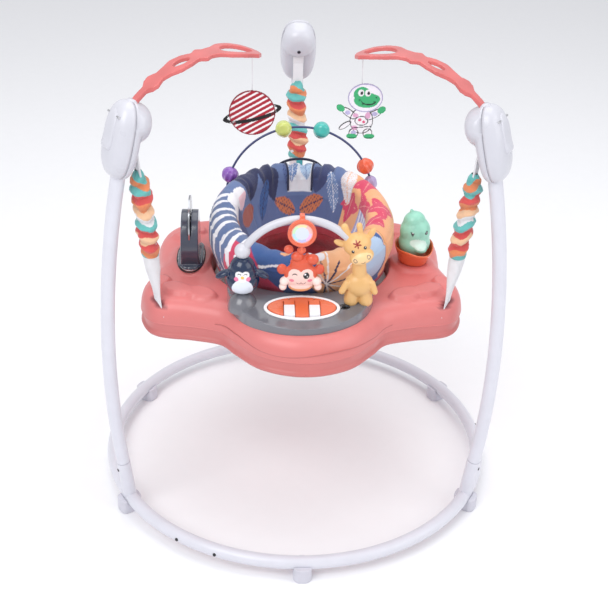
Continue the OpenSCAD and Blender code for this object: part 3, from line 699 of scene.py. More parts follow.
def make_pod():
    """Pod narrowing to its top, in a black ring on its plateau that is painted shade in the recess round its
    foot.
    """
    o = moulded("spinner_pod", "slate", 1.2, 6)
    lo, hi = [np.array(p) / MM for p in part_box("spinner_pod")]
    mid = (lo + hi) / 2
    co = co_of(o)
    up = np.clip((co[:, 2] - lo[2]) / (hi[2] - lo[2]), 0, 1)
    foot = np.clip(1 - (co[:, 2] - 462) / 16, 0, 1) ** 2
    co[:, 1] = mid[1] + (co[:, 1] - mid[1]) * (1.0 - 0.20 * up + 0.10 * foot)
    co[:, 0] = mid[0] + (co[:, 0] - mid[0]) * (1.0 - 0.05 * up + 0.16 * foot)
    set_co(o, co)
    # The first ring is a black tube laid round the pod's foot as painted shade in the recess gap; the second
    # is a steel lip.
    for name, grow, r, mat in (("pod_recess_shade", 1.20, 1.5, "black"), ("pod_edge", 1.13, 0.8, "steel")):
        rx, ry = (hi[0] - lo[0]) / 2 * grow, (hi[1] - lo[1]) / 2 * (grow - 0.06)
        pts = []
        for t in np.linspace(0, 2 * PI, 73):
            c, sn = math.cos(t), math.sin(t)
            pts.append((mid[0] + rx * math.copysign(abs(c) ** 0.9, c),
                    mid[1] + ry * math.copysign(abs(sn) ** 0.9, sn),
                    462.6 + (1.4 if name == "pod_edge" else 0)))
        tube(name, pts, r, "tray", mat, n=8, slot="slate")


make_pod()


def make_cup():
    prof = [(2, 463), (14, 463), (26, 462.4), (28.5, 464), (30, 470), (32, 478), (34.5, 486), (36.5, 493),
            (37.4, 497), (36.4, 498),
            (35, 496.5), (33, 488), (30, 476), (24, 470), (12, 468), (2, 468)]
    n = 120
    rows = []
    for k in range(n):
        t = 2 * PI * k / n
        front = math.exp(-((math.degrees(t) - 284) / 36) ** 2)
        wave = 2.0 * math.cos(3 * (t - math.radians(270)))
        row = []
        for r, z in prof:
            h = max(0.0, (z - 468) / 27)
            rr = r * (1 + 0.30 * front * min(1.0, h + 0.25))
            row.append((CUP_X + rr * math.cos(t), -8 + rr * math.sin(t) * 1.05, z + h * (wave - 5 * front)))
        rows.append(row)
    grid("cup_scoop", np.array(rows), "tray", "orange", cap=True, replaces="head_cup", slot="orange")


make_cup()

# ---------------------------------------------------------------- toys
ROW = -200.0
TX = -111.0


def penguin_paint(x, y, z):
    x, y = x - TX, y - ROW
    rgb = canvas(x, NAVY)
    front = y < -2
    fill(rgb, front & disc(x, z, 0, 513, 18.5, 18.5), srgb(226, 232, 244))
    fill(rgb, front
         & (disc(x, z, -5.6, 540, 6.8, 6.6) | disc(x, z, 5.6, 540, 6.8, 6.6) | disc(x, z, 0, 535, 9.5, 7.5)),
            WHITE)
    for s in (-1, 1):
        fill(rgb, front & disc(x, z, s * 10.5, 532.5, 4.0, 4.0), srgb(236, 120, 160))
        arc = disc(x, z, s * 5.4, 540, 3.4, 2.8) & ~disc(x, z, s * 5.4, 538.8, 3.0, 2.8)
        fill(rgb, front & arc, BLACK)
    return rgb


p = blob("penguin_body", [((TX, ROW, 520), (30, 27, 26), 0), ((TX, ROW, 532), (27, 25, 27), 0),
        ((TX, ROW - 1, 543), (23, 22, 24), 0), ((TX - 34, ROW - 4, 533), (6, 9.5, 15), 62),
        ((TX + 34, ROW - 4, 533), (6, 9.5, 15), -62),
        ((TX, ROW, 484), (TX, ROW, 500), 3.9, 3.9)],
        "penguin", "paint_gloss", 1.1, 5, replaces="penguin")
paint(p, penguin_paint)
p = blob("penguin_beak", [((TX, ROW - 25.5, 536.5), (3.0, 3.4, 2.2), 0)], "penguin", "paint", 0.6, 3)
paint(p, lambda x, y, z: canvas(x, srgb(246, 190, 70)))
dome = []
for k in range(64):
    t = 2 * PI * k / 64
    dome.append([(TX + r * math.cos(t), ROW + r * math.sin(t), z) for r, z in
            ((27, 462), (27, 467), (26, 473), (23.6, 480), (19.6, 486), (14, 491), (8, 493.6),
            (4.3, 494.2))])
grid("console_dome", np.array(dome), "tray", "console", slot="console")

PX = -9.0


def monkey_paint(x, y, z):
    x = x - PX
    rgb = canvas(x, srgb(222, 92, 62))
    front = y < ROW + 2
    face = disc(x, z, 0, 522, 26, 17) | disc(x, z, -10, 534, 12, 12) | disc(x, z, 10, 534, 12, 12)
    fill(rgb, face & front, srgb(250, 212, 202))
    fill(rgb, z < 507 + 0.004 * x * x, srgb(240, 180, 124))
    for s in (-1, 1):
        fill(rgb, disc(x, z, s * 30, 515, 11.5, 13) & front, srgb(252, 226, 218))
        fill(rgb, front & disc(x, z, s * 35, 540, 4, 5), srgb(214, 84, 62))
        fill(rgb, front & disc(x, z, s * 16, 524, 4.4, 2.8), srgb(240, 130, 150))
    fill(rgb, front & disc(x, z, 9.5, 534, 5.4, 6.2), BLACK)
    fill(rgb, front & (disc(x, z, 7.6, 536.6, 1.9) | disc(x, z, 11.4, 532, 1.0)), WHITE)
    fill(rgb, front & (disc(x, z, -10.5, 534, 5, 4) & ~disc(x, z, -10.5, 532.2, 5, 4)), BLACK)
    mouth = disc(x, z, -3.6, 521, 4.4, 4) & ~disc(x, z, -3.6, 522.2, 4.4, 4) | disc(x, z, 4.2, 521, 4.4,
            4) & ~disc(x, z, 4.2, 522.2, 4.4, 4)
    fill(rgb, front & mouth, srgb(120, 40, 45))
    return rgb


p = blob("monkey_head", [((PX, ROW, 530), (29, 13, 26), 0), ((PX - 33, ROW, 541), (9, 6, 10), 0),
        ((PX + 33, ROW, 541), (9, 6, 10), 0), ((PX, ROW, 548), (20, 12, 14), 0),
        ((PX - 3, ROW, 560), (PX - 11, ROW, 570), 5, 3),
        ((PX, ROW, 560), (PX, ROW, 577), 5, 2.6),
        ((PX + 3, ROW, 560), (PX + 11, ROW, 570), 5, 3), ((PX, ROW, 556), (19, 11, 9), 0),
        ((PX - 7, ROW - 4, 568), (11, 9, 9), 0), ((PX + 20, ROW - 5, 563), (11, 9, 10), 0),
        ((PX - 22, ROW - 5, 582), (8.5, 7, 8), 0), ((PX, ROW - 8, 582), (8, 6, 7), 0),
        ((PX - 29, ROW - 3, 518), (8, 8, 9), 0), ((PX + 29, ROW - 3, 518), (8, 8, 9), 0),
        ((PX - 31, ROW - 3, 508), (7, 7, 7), 0), ((PX + 31, ROW - 3, 508), (7, 7, 7), 0),
        ((PX, ROW, 509), (22, 11, 11), 0)],
        "pendant", "paint", 1.0, 5, replaces="monkey")
paint(p, monkey_paint)


def pendant_paint(x, y, z):
    x = x - PX
    rgb = canvas(x, srgb(228, 98, 62))
    d = np.hypot(x, z - 617)
    a = np.degrees(np.arctan2(z - 617, x)) % 360
    pastel = [srgb(250, 190, 190), srgb(250, 225, 170), srgb(200, 235, 190), srgb(180, 225, 240),
            srgb(195, 190, 240),
            srgb(240, 190, 230)]
    inner = (d < 18.5) & (y < ROW - 8)
    for i, c in enumerate(pastel):
        fill(rgb, inner & ((a // 60).astype(int) == i), c)
    fill(rgb, inner & (d < 12), srgb(214, 222, 236))
    fill(rgb, inner & (d > 16.8), srgb(236, 170, 150))
    return rgb


p = moulded("mirror_pendant", "paint_gloss", 0.8, 4)
paint(p, pendant_paint)


GX, GZ, TILT = 90.0, 588.0, 20.0


def tilted(x, z, back=1):
    """Turns the giraffe's head towards its arch end, or undoes it."""
    c, sn = math.cos(math.radians(TILT)), math.sin(math.radians(TILT)) * back
    return GX + (x - GX) * c - (z - GZ) * sn, GZ + (x - GX) * sn + (z - GZ) * c


def giraffe_paint(x, y, z):
    tan = srgb(230, 182, 118)
    rgb = canvas(x, tan)
    # Painted light and shade: the giraffe is painted darker towards its bottom and lighter towards its top.
    rgb *= (0.94 + 0.1 * np.clip((z - 470) / 150, 0, 1))[:, None]
    front = y < ROW - 2
    head = z > 548
    u, v = tilted(x, z, -1)
    u = u - GX
    fill(rgb, head & front & disc(u, v, 0, 571, 19, 12), srgb(244, 206, 150))
    for s in (-1, 1):
        fill(rgb, head & front & disc(u, v, s * 11, 589, 2.6, 3.4), BLACK)
        fill(rgb, head & front & disc(u, v, s * 11 + 0.8, 590.4, 0.9), WHITE)
        fill(rgb, head & front & (disc(u, v, s * 12, 573, 3.4, 4.2) & ~disc(u, v, s * 12, 573, 2.0, 2.8)),
             srgb(140, 120, 110))
    fill(rgb, head & front & (disc(u, v, 0, 567, 3.4, 3) & ~disc(u, v, 0, 568.4, 3.4, 3)), srgb(110, 60, 50))
    a = np.arctan2(v - 600, u)
    star = np.hypot(u, v - 600) < 7.6 * (0.62 + 0.38 * np.cos(6 * (a - PI / 2)))
    fill(rgb, head & front & star, srgb(150, 36, 40))
    # Painted shade: the lowest 5 mm, where the giraffe stands on the tray, is painted a darker tan.
    fill(rgb, z < 473, srgb(205, 150, 88))
    return rgb


def g_ball(x, y, z, rad, rot=0.0):
    u, v = tilted(x, z)
    return (u, y, v), rad, rot - TILT


def g_rod(x0, z0, x1, z1, r0, r1):
    (a, b), (c, d) = tilted(x0, z0), tilted(x1, z1)
    return (a, ROW, b), (c, ROW, d), r0, r1


p = blob("giraffe_body",
        [((82, ROW - 2, 481), (83, ROW, 506), 13, 12), ((108, ROW - 2, 481), (105, ROW, 506), 13, 12),
        ((95, ROW, 512), (26, 19, 24), 0), ((95, ROW, 525), (92, ROW, 572), 13, 12),
        g_ball(89, ROW - 1, 592, (25, 21, 21)), g_ball(90, ROW - 12, 572, (22, 16, 14)),
        g_rod(80, 606, 78, 630, 5.5, 6.5), g_rod(100, 606, 103, 624, 5.0, 5.5),
        g_ball(62, ROW + 1, 602, (6, 5, 13), -48),
        g_ball(118, ROW + 1, 602, (6, 5, 13), 48),
        ((72, ROW - 9, 518), (64, ROW - 12, 504), 6, 6),
        ((117, ROW - 9, 518), (122, ROW - 12, 503), 6, 6)],
        "tray", "paint", 1.2, 6, replaces="giraffe", flat=468.2)
paint(p, giraffe_paint)


def make_head():
    """Turning bird head: a leaning faceted egg with a crest and a beak that rests in the cup."""
    cx, cy = CUP_X, -8
    o = blob("mint_egg", [((cx, cy, 502), (31, 31, 29), 0), ((cx, cy, 526), (30, 29, 30), 0),
            ((cx - 3, cy, 546), (22, 21, 20), -14),
            ((cx - 4, cy, 556), (cx - 10, cy, 568), 8, 4),
            ((cx + 8, cy - 26, 500), (14, 14, 10), 10), ((cx, cy, 450), (cx, cy, 480), 5, 8)],
            None, "paint", 1.6, 4)
    md = o.modifiers.new("facets", "DECIMATE")
    md.ratio = 0.02
    applied(o)
    md = o.modifiers.new("round", "SUBSURF")
    md.levels = 2
    applied(o)

    def colour(x, y, z):
        u = x - cx
        rgb = canvas(x, srgb(150, 212, 190))
        rgb *= (1 - 0.10 * (np.sin(x / 5.0) * np.sin(z / 6.0 + y / 7.0) > 0.45))[:, None]
        fill(rgb, (y < cy) & disc(u, z, 4, 510, 17, 9, -12), srgb(206, 232, 220))
        for s in (-1, 1):
            fill(rgb, (y < cy) & disc(u, z, 5 + s * 14, 530, 3.0, 3.6), BLACK)
            fill(rgb, (y < cy) & disc(u, z, 6 + s * 14, 531.4, 1.0), WHITE)
        return rgb
    paint(o, colour)
    dress(o, "mint_head", "paint", "mint_head")


make_head()


def flat_toy(name, mask, colour, box, y0, body, replaces, thick=3.2, step=0.9):
    """A puffy printed figure cut from soft sheet, standing in the XZ plane."""
    step = step * 1.0
    xs, zs = np.arange(box[0], box[2], step), np.arange(box[1], box[3], step)
    X, Z = np.meshgrid(xs, zs, indexing="ij")
    inside = mask(X.ravel(), Z.ravel()).reshape(X.shape)
    V, F, ids = [], [], {}

    def vid(i, j, side):
        if (i, j, side) not in ids:
            ids[(i, j, side)] = len(V)
            V.append((xs[i] - step / 2 if i < len(xs) else xs[-1] + step / 2, y0 + side * thick / 2,
                    zs[j] - step / 2 if j < len(zs) else zs[-1] + step / 2))
        return ids[(i, j, side)]
    for i, j in zip(*np.nonzero(inside)):
        i, j = int(i), int(j)
        F.append((vid(i, j, -1), vid(i + 1, j, -1), vid(i + 1, j + 1, -1), vid(i, j + 1, -1)))
        F.append((vid(i, j, 1), vid(i, j + 1, 1), vid(i + 1, j + 1, 1), vid(i + 1, j, 1)))
        for di, dj, e in ((-1, 0, ((0, 0), (0, 1))), (1, 0, ((1, 1), (1, 0))), (0, -1, ((1, 0), (0, 0))),
                (0, 1, ((0, 1), (1, 1)))):
            ni, nj = i + di, j + dj
            if not (0 <= ni < len(xs) and 0 <= nj < len(zs) and inside[ni, nj]):
                (ai, aj), (bi, bj) = e
                F.append((vid(i + ai, j + aj, -1), vid(i + ai, j + aj, 1), vid(i + bi, j + bj, 1),
                        vid(i + bi, j + bj, -1)))
    o = build(name, V, F, None, "cloth")
    sm = o.modifiers.new("s", "SMOOTH")
    sm.iterations = 4
    sm.factor = 0.5
    applied(o)
    paint(o, lambda x, y, z: colour(x, z))
    return dress(o, body, "cloth", replaces)


HANG_X, HANG_Y = 110 * math.sin(math.radians(120)), 110 * math.cos(math.radians(120))
HANG_Z = 665 + math.sqrt(228 ** 2 - 65 ** 2) - 5


def planet_mask(x, z):
    return disc(x, z, -HANG_X, 775, 41) | (disc(x, z, -HANG_X, 773, 53, 13, 14)
            & ~disc(x, z, -HANG_X, 774, 45, 8, 14))


def planet_colour(x, z):
    u, v = x + HANG_X, z - 775
    c, s = math.cos(math.radians(14)), math.sin(math.radians(14))
    p, q = u * c + (v + 2) * s, -u * s + (v + 2) * c
    rgb = canvas(x, srgb(172, 26, 48))
    fill(rgb, np.sin((v * 0.87 - u * 0.5) * 2 * PI / 8.6) > 0.3, srgb(250, 244, 246))
    fill(rgb, np.hypot(u, v) > 38.8, srgb(140, 22, 42))
    out = np.hypot(u, v) > 41
    fill(rgb, out, srgb(240, 238, 242))
    for a, b in ((52.2, 12.4), (48.6, 10.2), (45.6, 8.2)):
        d = (p / a) ** 2 + (q / b) ** 2
        near = np.abs(d - 1) < np.where(np.abs(p) > 32, 0.09, 0.22)
        fill(rgb, near & ((q < 1) | out), srgb(16, 12, 18))
    return rgb


flat_toy("planet_print", planet_mask, planet_colour, (-HANG_X - 54, 732, -HANG_X + 54, 820), HANG_Y,
        "planet_toy",
        "planet_toy")
tube("planet_string", [(-HANG_X, HANG_Y, 812), (-HANG_X + 0.4, HANG_Y, 850), (-HANG_X, HANG_Y, HANG_Z)], 0.7,
     "planet_toy",
     "string", n=8, slot="planet")

DZ = 781.0


def dino_parts(u, v):
    helmet = disc(u, v, 8, 24, 31, 26)
    torso = disc(u, v, 3, -18, 21, 24)
    arms = disc(u, v, -20, -4, 17, 7, -35) | disc(u, v, 25, -6, 17, 7, 30)
    hands = disc(u, v, -35, 5, 8, 6, -35) | disc(u, v, 38, 2, 8, 6, 30)
    legs = disc(u, v, -10, -41, 9, 9) | disc(u, v, 15, -41, 9, 9)
    feet = disc(u, v, -13, -47, 10, 5) | disc(u, v, 18, -47, 10, 5)
    tail = disc(u, v, -26, -27, 13, 5, 35)
    return helmet, torso, arms, hands, legs, feet, tail


def dino_mask(x, z):
    out = np.zeros(len(x), bool)
    for part in dino_parts(x - HANG_X, z - DZ):
        out |= part
    return out


def dino_colour(x, z):
    u, v = x - HANG_X, z - DZ
    helmet, torso, arms, hands, legs, feet, tail = dino_parts(u, v)
    green, dark, ink = srgb(62, 178, 118), srgb(34, 130, 84), srgb(28, 26, 38)
    rgb = canvas(x, srgb(246, 244, 248))
    suit = torso | arms | legs | tail
    edge = np.zeros(len(u), bool)
    for cu, cv, ra, rb, rot in ((3, -18, 21, 24, 0), (-20, -4, 17, 7, -35), (25, -6, 17, 7, 30),
            (-10, -41, 9, 9, 0), (15, -41, 9, 9, 0),
            (-26, -27, 13, 5, 35)):
        edge |= disc(u, v, cu, cv, ra, rb, rot) & ~disc(u, v, cu, cv, ra - 1.6, rb - 1.6, rot)
    fill(rgb, suit & edge, ink)
    fill(rgb, torso & disc(u, v, 3, -18, 12, 9) & ~disc(u, v, 3, -18, 10.6, 7.6), ink)
    fill(rgb, torso & (disc(u, v, 0, -16, 3) | disc(u, v, 7, -20, 2.6)), srgb(225, 90, 130))
    fill(rgb, torso & (disc(u, v, -9, -31, 6, 4) | disc(u, v, 14, -8, 5, 6) | disc(u, v, -8, -8, 5, 4)),
         srgb(226, 170, 204))
    fill(rgb, legs & disc(u, v, -10, -40, 5, 4) | arms & disc(u, v, -22, -3, 5, 4) | arms
         & disc(u, v, 26, -5, 5, 4), srgb(190, 184, 222))
    fill(rgb, torso & (np.abs(v + 30 - 0.1 * u) < 0.8), ink)
    fill(rgb, feet, green)
    fill(rgb, feet & (v < -48.5), dark)
    fill(rgb, hands, green)
    fill(rgb, helmet, srgb(244, 240, 250))
    fill(rgb, helmet & ~disc(u, v, 8, 24, 29, 24), srgb(176, 168, 205))
    face = disc(u, v, 10, 20, 22, 14) | disc(u, v, 2, 30, 15, 14) | disc(u, v, 20, 22, 14, 9)
    fill(rgb, face, green)
    for cu, cv in ((-2, 20), (4, 13), (12, 31), (24, 17)):
        fill(rgb, disc(u, v, cu, cv, 2.2), dark)
    for cu in (0, 12):
        fill(rgb, disc(u, v, cu, 33, 5.4, 6.2), WHITE)
        fill(rgb, disc(u, v, cu + 1.2, 32.6, 2.4, 3.2), ink)
    fill(rgb, disc(u, v, 14, 18, 13, 7) & ~disc(u, v, 14, 20.2, 13, 7), ink)
    fill(rgb, disc(u, v, 27, 25, 1.2), ink)
    return rgb


flat_toy("dino_print", dino_mask, dino_colour, (HANG_X - 48, DZ - 54, HANG_X + 50, DZ + 52), HANG_Y,
        "dino_toy", "dino_toy")
tube("dino_string", [(HANG_X + 1, HANG_Y, DZ + 49), (HANG_X + 0.5, HANG_Y, 850), (HANG_X, HANG_Y, HANG_Z)],
     0.7, "dino_toy",
     "string", n=8, slot="dino")

# ---------------------------------------------------------------- beads
ARCH_Y, ARCH_Z, ARCH_R = 130.0, 535.0, 147.0
for name, az, rad, length, lobes, c in (("purple", -72, 16.5, 0, 9, srgb(140, 92, 182)),
        ("lime", -13.5, 16.5, 0, 5, srgb(206, 216, 116)),
        ("teal", 16, 16.5, 0, 5, srgb(64, 186, 176)),
        ("orange", 63, 16.5, 0, 8, srgb(232, 96, 62)),
        ("lilac", 78, 12, 7, 6, srgb(176, 160, 205))):
    n, mlat = 72, 28
    rows = []
    for k in range(n):
        t = 2 * PI * k / n
        row = []
        for j in range(mlat + 1):
            b = -PI / 2 + PI * j / mlat
            r = max(rad * math.cos(b) * (1 + 0.055 * math.cos(lobes * t) * math.cos(b)), 2.7)
            along = rad * math.sin(b) * 0.985 + math.copysign(length / 2,
                    math.sin(b)) if abs(j - mlat / 2) > 0.5 else 0.0
            p = Vector((r * math.cos(t), r * math.sin(t), along))
            p = Matrix.Rotation(math.radians(90), 4, "Y") @ p + Vector((0, 0, ARCH_R - 0.45))
            p = Matrix.Rotation(math.radians(az), 4, "Y") @ p
            row.append((p.x, p.y + ARCH_Y, p.z + ARCH_Z))
        rows.append(row)
    o = grid("bead_%s_fluted" % name, np.array(rows), None, "paint_gloss", cap=True)
    paint(o, lambda x, y, z, c=c: canvas(x, c))
    dress(o, "bead_" + name, "paint_gloss", "bead_" + name)

# ---------------------------------------------------------------- straps
RED, ORANGE, PEACH, TEAL = srgb(224, 84, 82), srgb(234, 140, 92), srgb(246, 200, 160), srgb(108, 194, 190)
BANDS = [TEAL, ORANGE, TEAL, RED, ORANGE, PEACH, WHITE, TEAL, RED, PEACH, RED, ORANGE, TEAL]


def strap_cover(s, a):
    n, rows_n = 72, 190
    P = np.zeros((n, rows_n, 3))
    col = np.zeros((n, rows_n, 3))
    seed = {"left": 3.1, "right": 7.7, "rear": 12.9}[s]
    for j in range(rows_n):
        f = j / (rows_n - 1)
        z = 108 + 164 * f
        pinch = min(1, 0.94 + 2 * f, 0.34 + 5 * (1 - f))
        loose = min(1, 9 * f)
        sway = 2.2 * math.sin(z / 31 + seed) * loose
        for k in range(n):
            t = 2 * PI * k / n
            q = Vector((math.cos(t) * 0.8, math.sin(t) * 0.8, z / 38 + seed))
            phase = (z + 7 * math.sin(t + seed + z / 55)) / 23
            tri = abs(((phase % 1) * 2) - 1)
            fold = 1 - 2 * tri ** 1.3
            r = 18.4 + loose * (3.2 * fold + 4.2 * noise.noise(q * 1.6) + 1.1 * noise.noise(q * 5.5))
            r *= pinch
            P[k, j] = strap_point(a, r * math.cos(t) * 0.84 + sway * 0.4, r * math.sin(t) + sway, z)
            band = int((272 - z + 6 * math.sin(t + seed) + 3 * math.sin(2.3 * t + z / 13)) / 13.2)
            shade = 0.9 + 0.1 * fold
            col[k, j] = BANDS[band % len(BANDS)] * shade
    o = grid("strap_cover_" + s, P, None, "cloth")
    set_colour(o, col.reshape(-1, 3))
    return o


for s, a in AZ.items():
    o = strap_cover(s, a)
    dress(o, None, "cloth", "strap_covers")
    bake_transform(o)


def coil_spring(s, a):
    """Tension spring inside a cover, hooked at both ends."""
    turns, steps = 19, 20
    pts = [strap_point(a, 0, 0, 158), strap_point(a, 0, 0, 164)]
    for k in range(turns * steps + 1):
        t = 2 * PI * k / steps
        pts.append(strap_point(a, 6.6 * math.cos(t), 6.6 * math.sin(t), 168 + 82.0 * k / (turns * steps)))
    pts += [strap_point(a, 0, 0, 254), strap_point(a, 0, 0, 258)]
    o = tube("spring_coil_" + s, pts, 1.0, None, "steel", n=6)
    dress(o, None, "steel", "springs")
    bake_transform(o)


for s, a in AZ.items():
    coil_spring(s, a)


def strap_web(s, a):
    n, rows_n = 48, 60
    P = np.zeros((n, rows_n, 3))
    for j in range(rows_n):
        f = j / (rows_n - 1)
        z = -14 + 164 * f
        k2 = min(1.0, max(0.0, (z - 8) / 90))
        k2 = k2 * k2 * (3 - 2 * k2)
        wid, th = 14.5 + 0.5 * k2, 1.6 + 11.5 * k2
        if z > 120:
            wid, th = wid * (1 - 0.2 * (z - 120) / 30), th * (1 - 0.25 * (z - 120) / 30)
        for k in range(n):
            t = 2 * PI * k / n
            c, sn = math.cos(t), math.sin(t)
            e = 0.75
            x = th * math.copysign(abs(c) ** e, c)
            y = wid * math.copysign(abs(sn) ** e, sn)
            w = 0.9 * k2 * noise.noise(Vector((x / 9, y / 9, z / 14 + a)))
            P[k, j] = strap_point(a, x * (1 + 0.06 * w), y + w, z)
    o = grid("strap_sleeve_" + s, P, "tray", "web", cap=True, replaces="strap_webs", slot="webbing")


for s, a in AZ.items():
    strap_web(s, a)

# ---------------------------------------------------------------- seat
def crest(az_front):
    """Height of the collar's top at an angle from the front."""
    y = -150 * math.cos(math.radians(az_front))
    return 574 + 0.2 * y


def leaf(rgb, u, v, cu, cv, ra, rb, rot, c, vein=None):
    """A pointed petal with a vein."""
    k, sn = math.cos(math.radians(rot)), math.sin(math.radians(rot))
    p, q = (u - cu) * k + (v - cv) * sn, -(u - cu) * sn + (v - cv) * k
    inside = np.abs(q) < rb * np.clip(1 - (p / ra) ** 2, 0, 1) ** 0.8
    fill(rgb, inside, c)
    if vein is not None:
        fill(rgb, inside & (np.abs(q) < 0.9), vein)
        fill(rgb, inside & (np.abs(((p - np.abs(q) * 1.2) / 9) % 1 - 0.5) < 0.06), vein)


def seat_paint(u, v):
    """Print of the collar: u mm round from the front, v up the outside, over the top and down the inside."""
    blue, slate, navy = srgb(62, 98, 158), srgb(104, 124, 170), srgb(48, 54, 92)
    pink, peach, sky, white = srgb(212, 66, 102), srgb(244, 178, 130), srgb(184, 208, 236), srgb(244, 243,
            248)
    rgb = canvas(u, blue)
    fill(rgb, np.abs(u) > 175, slate)
    s = np.where(v < 139, v * 0.475, np.where(v < 238, 66 + (v - 139) * 0.86, 151 + (v - 238) * 0.62))
    # left shoulder: curved stripes, the lower ones on pink
    side = (u > -322) & (u < -104 - 0.22 * s)
    k = np.sin((u + 0.16 * s + 5 * np.sin(s / 24)) * 2 * PI / 25)
    fill(rgb, side, srgb(98, 118, 160))
    fill(rgb, side & (u > -178 + 0.25 * s) & (s < 92), pink)
    fill(rgb, side & (k > 0.30 + 0.25 * np.sin(s / 15)), white)
    fill(rgb, disc(u, v, -336, 122, 32, 42, 10), srgb(226, 92, 122))
    # cloud with a pale corner, brown and plum patches, inside left
    fill(rgb, (u < -205) & (u > -322) & (v > 232), srgb(78, 90, 138))
    fill(rgb, disc(u, v, -262, 262, 22, 30, -20), srgb(178, 122, 96))
    cloud = disc(u, v, -300, 214, 26, 22) | disc(u, v, -330, 226, 24, 28) | disc(u, v, -284, 234, 20, 20)
    fill(rgb, cloud, white)
    fill(rgb, cloud & (u < -318) & (v > 220), srgb(246, 206, 216))
    fill(rgb, disc(u, v, -350, 275, 34, 18, 10), srgb(172, 96, 84))
    # front panel: wave line, crimson corner, parasol, pale patches
    front = (np.abs(u) < 122) & ~side
    wave = s - (68 + 6 * np.sin((u + 66) / 14) - 0.05 * u)
    fill(rgb, front & (wave < 0) & (u < 30), srgb(50, 78, 134))
    fill(rgb, front & (np.abs(wave) < 2.3) & (u < 6), white)
    fill(rgb, front & (s < 62 - (u + 80) * 1.03) & (u < 12), srgb(200, 52, 88))
    fill(rgb, disc(u, s, -40, 108, 11, 7), peach)
    fan = (disc(u, s, 74, 64, 68, 64) & (u > 10 + 0.25 * (s - 40))) & (u < 128)
    fill(rgb, fan, srgb(242, 184, 138))
    a, far = np.degrees(np.arctan2(s - 40, u - 38)), np.hypot(u - 38, s - 40)
    for turn, c, wide in ((58, navy, 2.0), (6, navy, 1.4), (-48, navy, 1.4), (-92, navy, 1.4),
            (142, navy, 1.6), (100, navy, 1.2),
            (84, white, 1.6), (32, white, 1.4), (-22, white, 1.2), (-70, white, 1.2),
            (118, white, 1.4)):
        off = np.abs(np.radians((a - turn + 180) % 360 - 180)) * far
        fill(rgb, fan & (off < wide) & (far < 74 if c is white else far < 46 + turn * 0.1), c)
    fill(rgb, disc(u, s, 18, 108, 18, 11, -8) | disc(u, s, 30, 102, 10, 12), white)
    fill(rgb, disc(u, s, 146, 66, 30, 46, 8), sky)
    fill(rgb, disc(u, s, 150, 122, 34, 16, -8), peach)
    # right side
    right = (u > 178) & (u < 400)
    fill(rgb, right, peach)
    for cu, cv, rot, size in ((216, 200, 70, 1.0), (262, 186, 20, 1.1), (306, 232, -30, 1.0),
            (352, 186, 60, 1.1), (372, 262, 10, 1.0)):
        for turn in (0, 62):
            leaf(rgb, u, v, cu, cv, 36 * size, 15 * size, rot + turn, srgb(222, 74, 106))
            leaf(rgb, u, v, cu, cv, 30 * size, 1.0, rot + turn, srgb(246, 170, 160))
    lav = (u > 252) & (u < 330) & (v > 250)
    fill(rgb, lav, srgb(176, 172, 214))
    fill(rgb, lav & (np.sin(u * 2 * PI / 17 + v / 30) > 0.1), srgb(236, 234, 246))
    leaf(rgb, u, v, 300, 90, 52, 20, 75, white, sky)
    leaf(rgb, u, v, 398, 216, 50, 22, 105, srgb(240, 236, 240), peach)
    # back: large leaves, a drop and warm patches
    fill(rgb, (np.abs(u) > 398) & (v > 268), srgb(96, 112, 158))
    for cu, cv, ra, rb, rot, c, vein in (
            (-392, 192, 66, 30, 78, navy, None), (-448, 214, 60, 27, 100, navy, None),
            (-424, 264, 40, 14, 60, blue, navy),
            (-506, 206, 52, 16, 84, srgb(90, 108, 158), navy), (522, 210, 50, 18, 96, sky, white),
            (474, 214, 52, 24, 70, srgb(66, 76, 120), None),
            (440, 246, 44, 17, 110, srgb(120, 146, 192), white),
            (500, 282, 38, 15, 20, srgb(206, 120, 84), navy),
            (-490, 284, 34, 14, 160, srgb(206, 120, 84), navy),
            (452, 96, 70, 28, 90, navy, None), (-460, 90, 70, 26, 84, srgb(90, 108, 158), navy),
            (520, 84, 56, 22, 80, sky, white)):
        leaf(rgb, u, v, cu, cv, ra, rb, rot, c, vein)
    gusset = (np.abs(u) > 500) & (v > 96) & (v < 262)
    fill(rgb, gusset, srgb(238, 240, 246))
    leaf(rgb, u, v, 520, 196, 44, 15, 96, sky, srgb(120, 150, 200))
    leaf(rgb, u, v, -516, 204, 40, 12, 82, srgb(120, 150, 200), white)
    fill(rgb, v < 12, srgb(178, 48, 76))
    return rgb


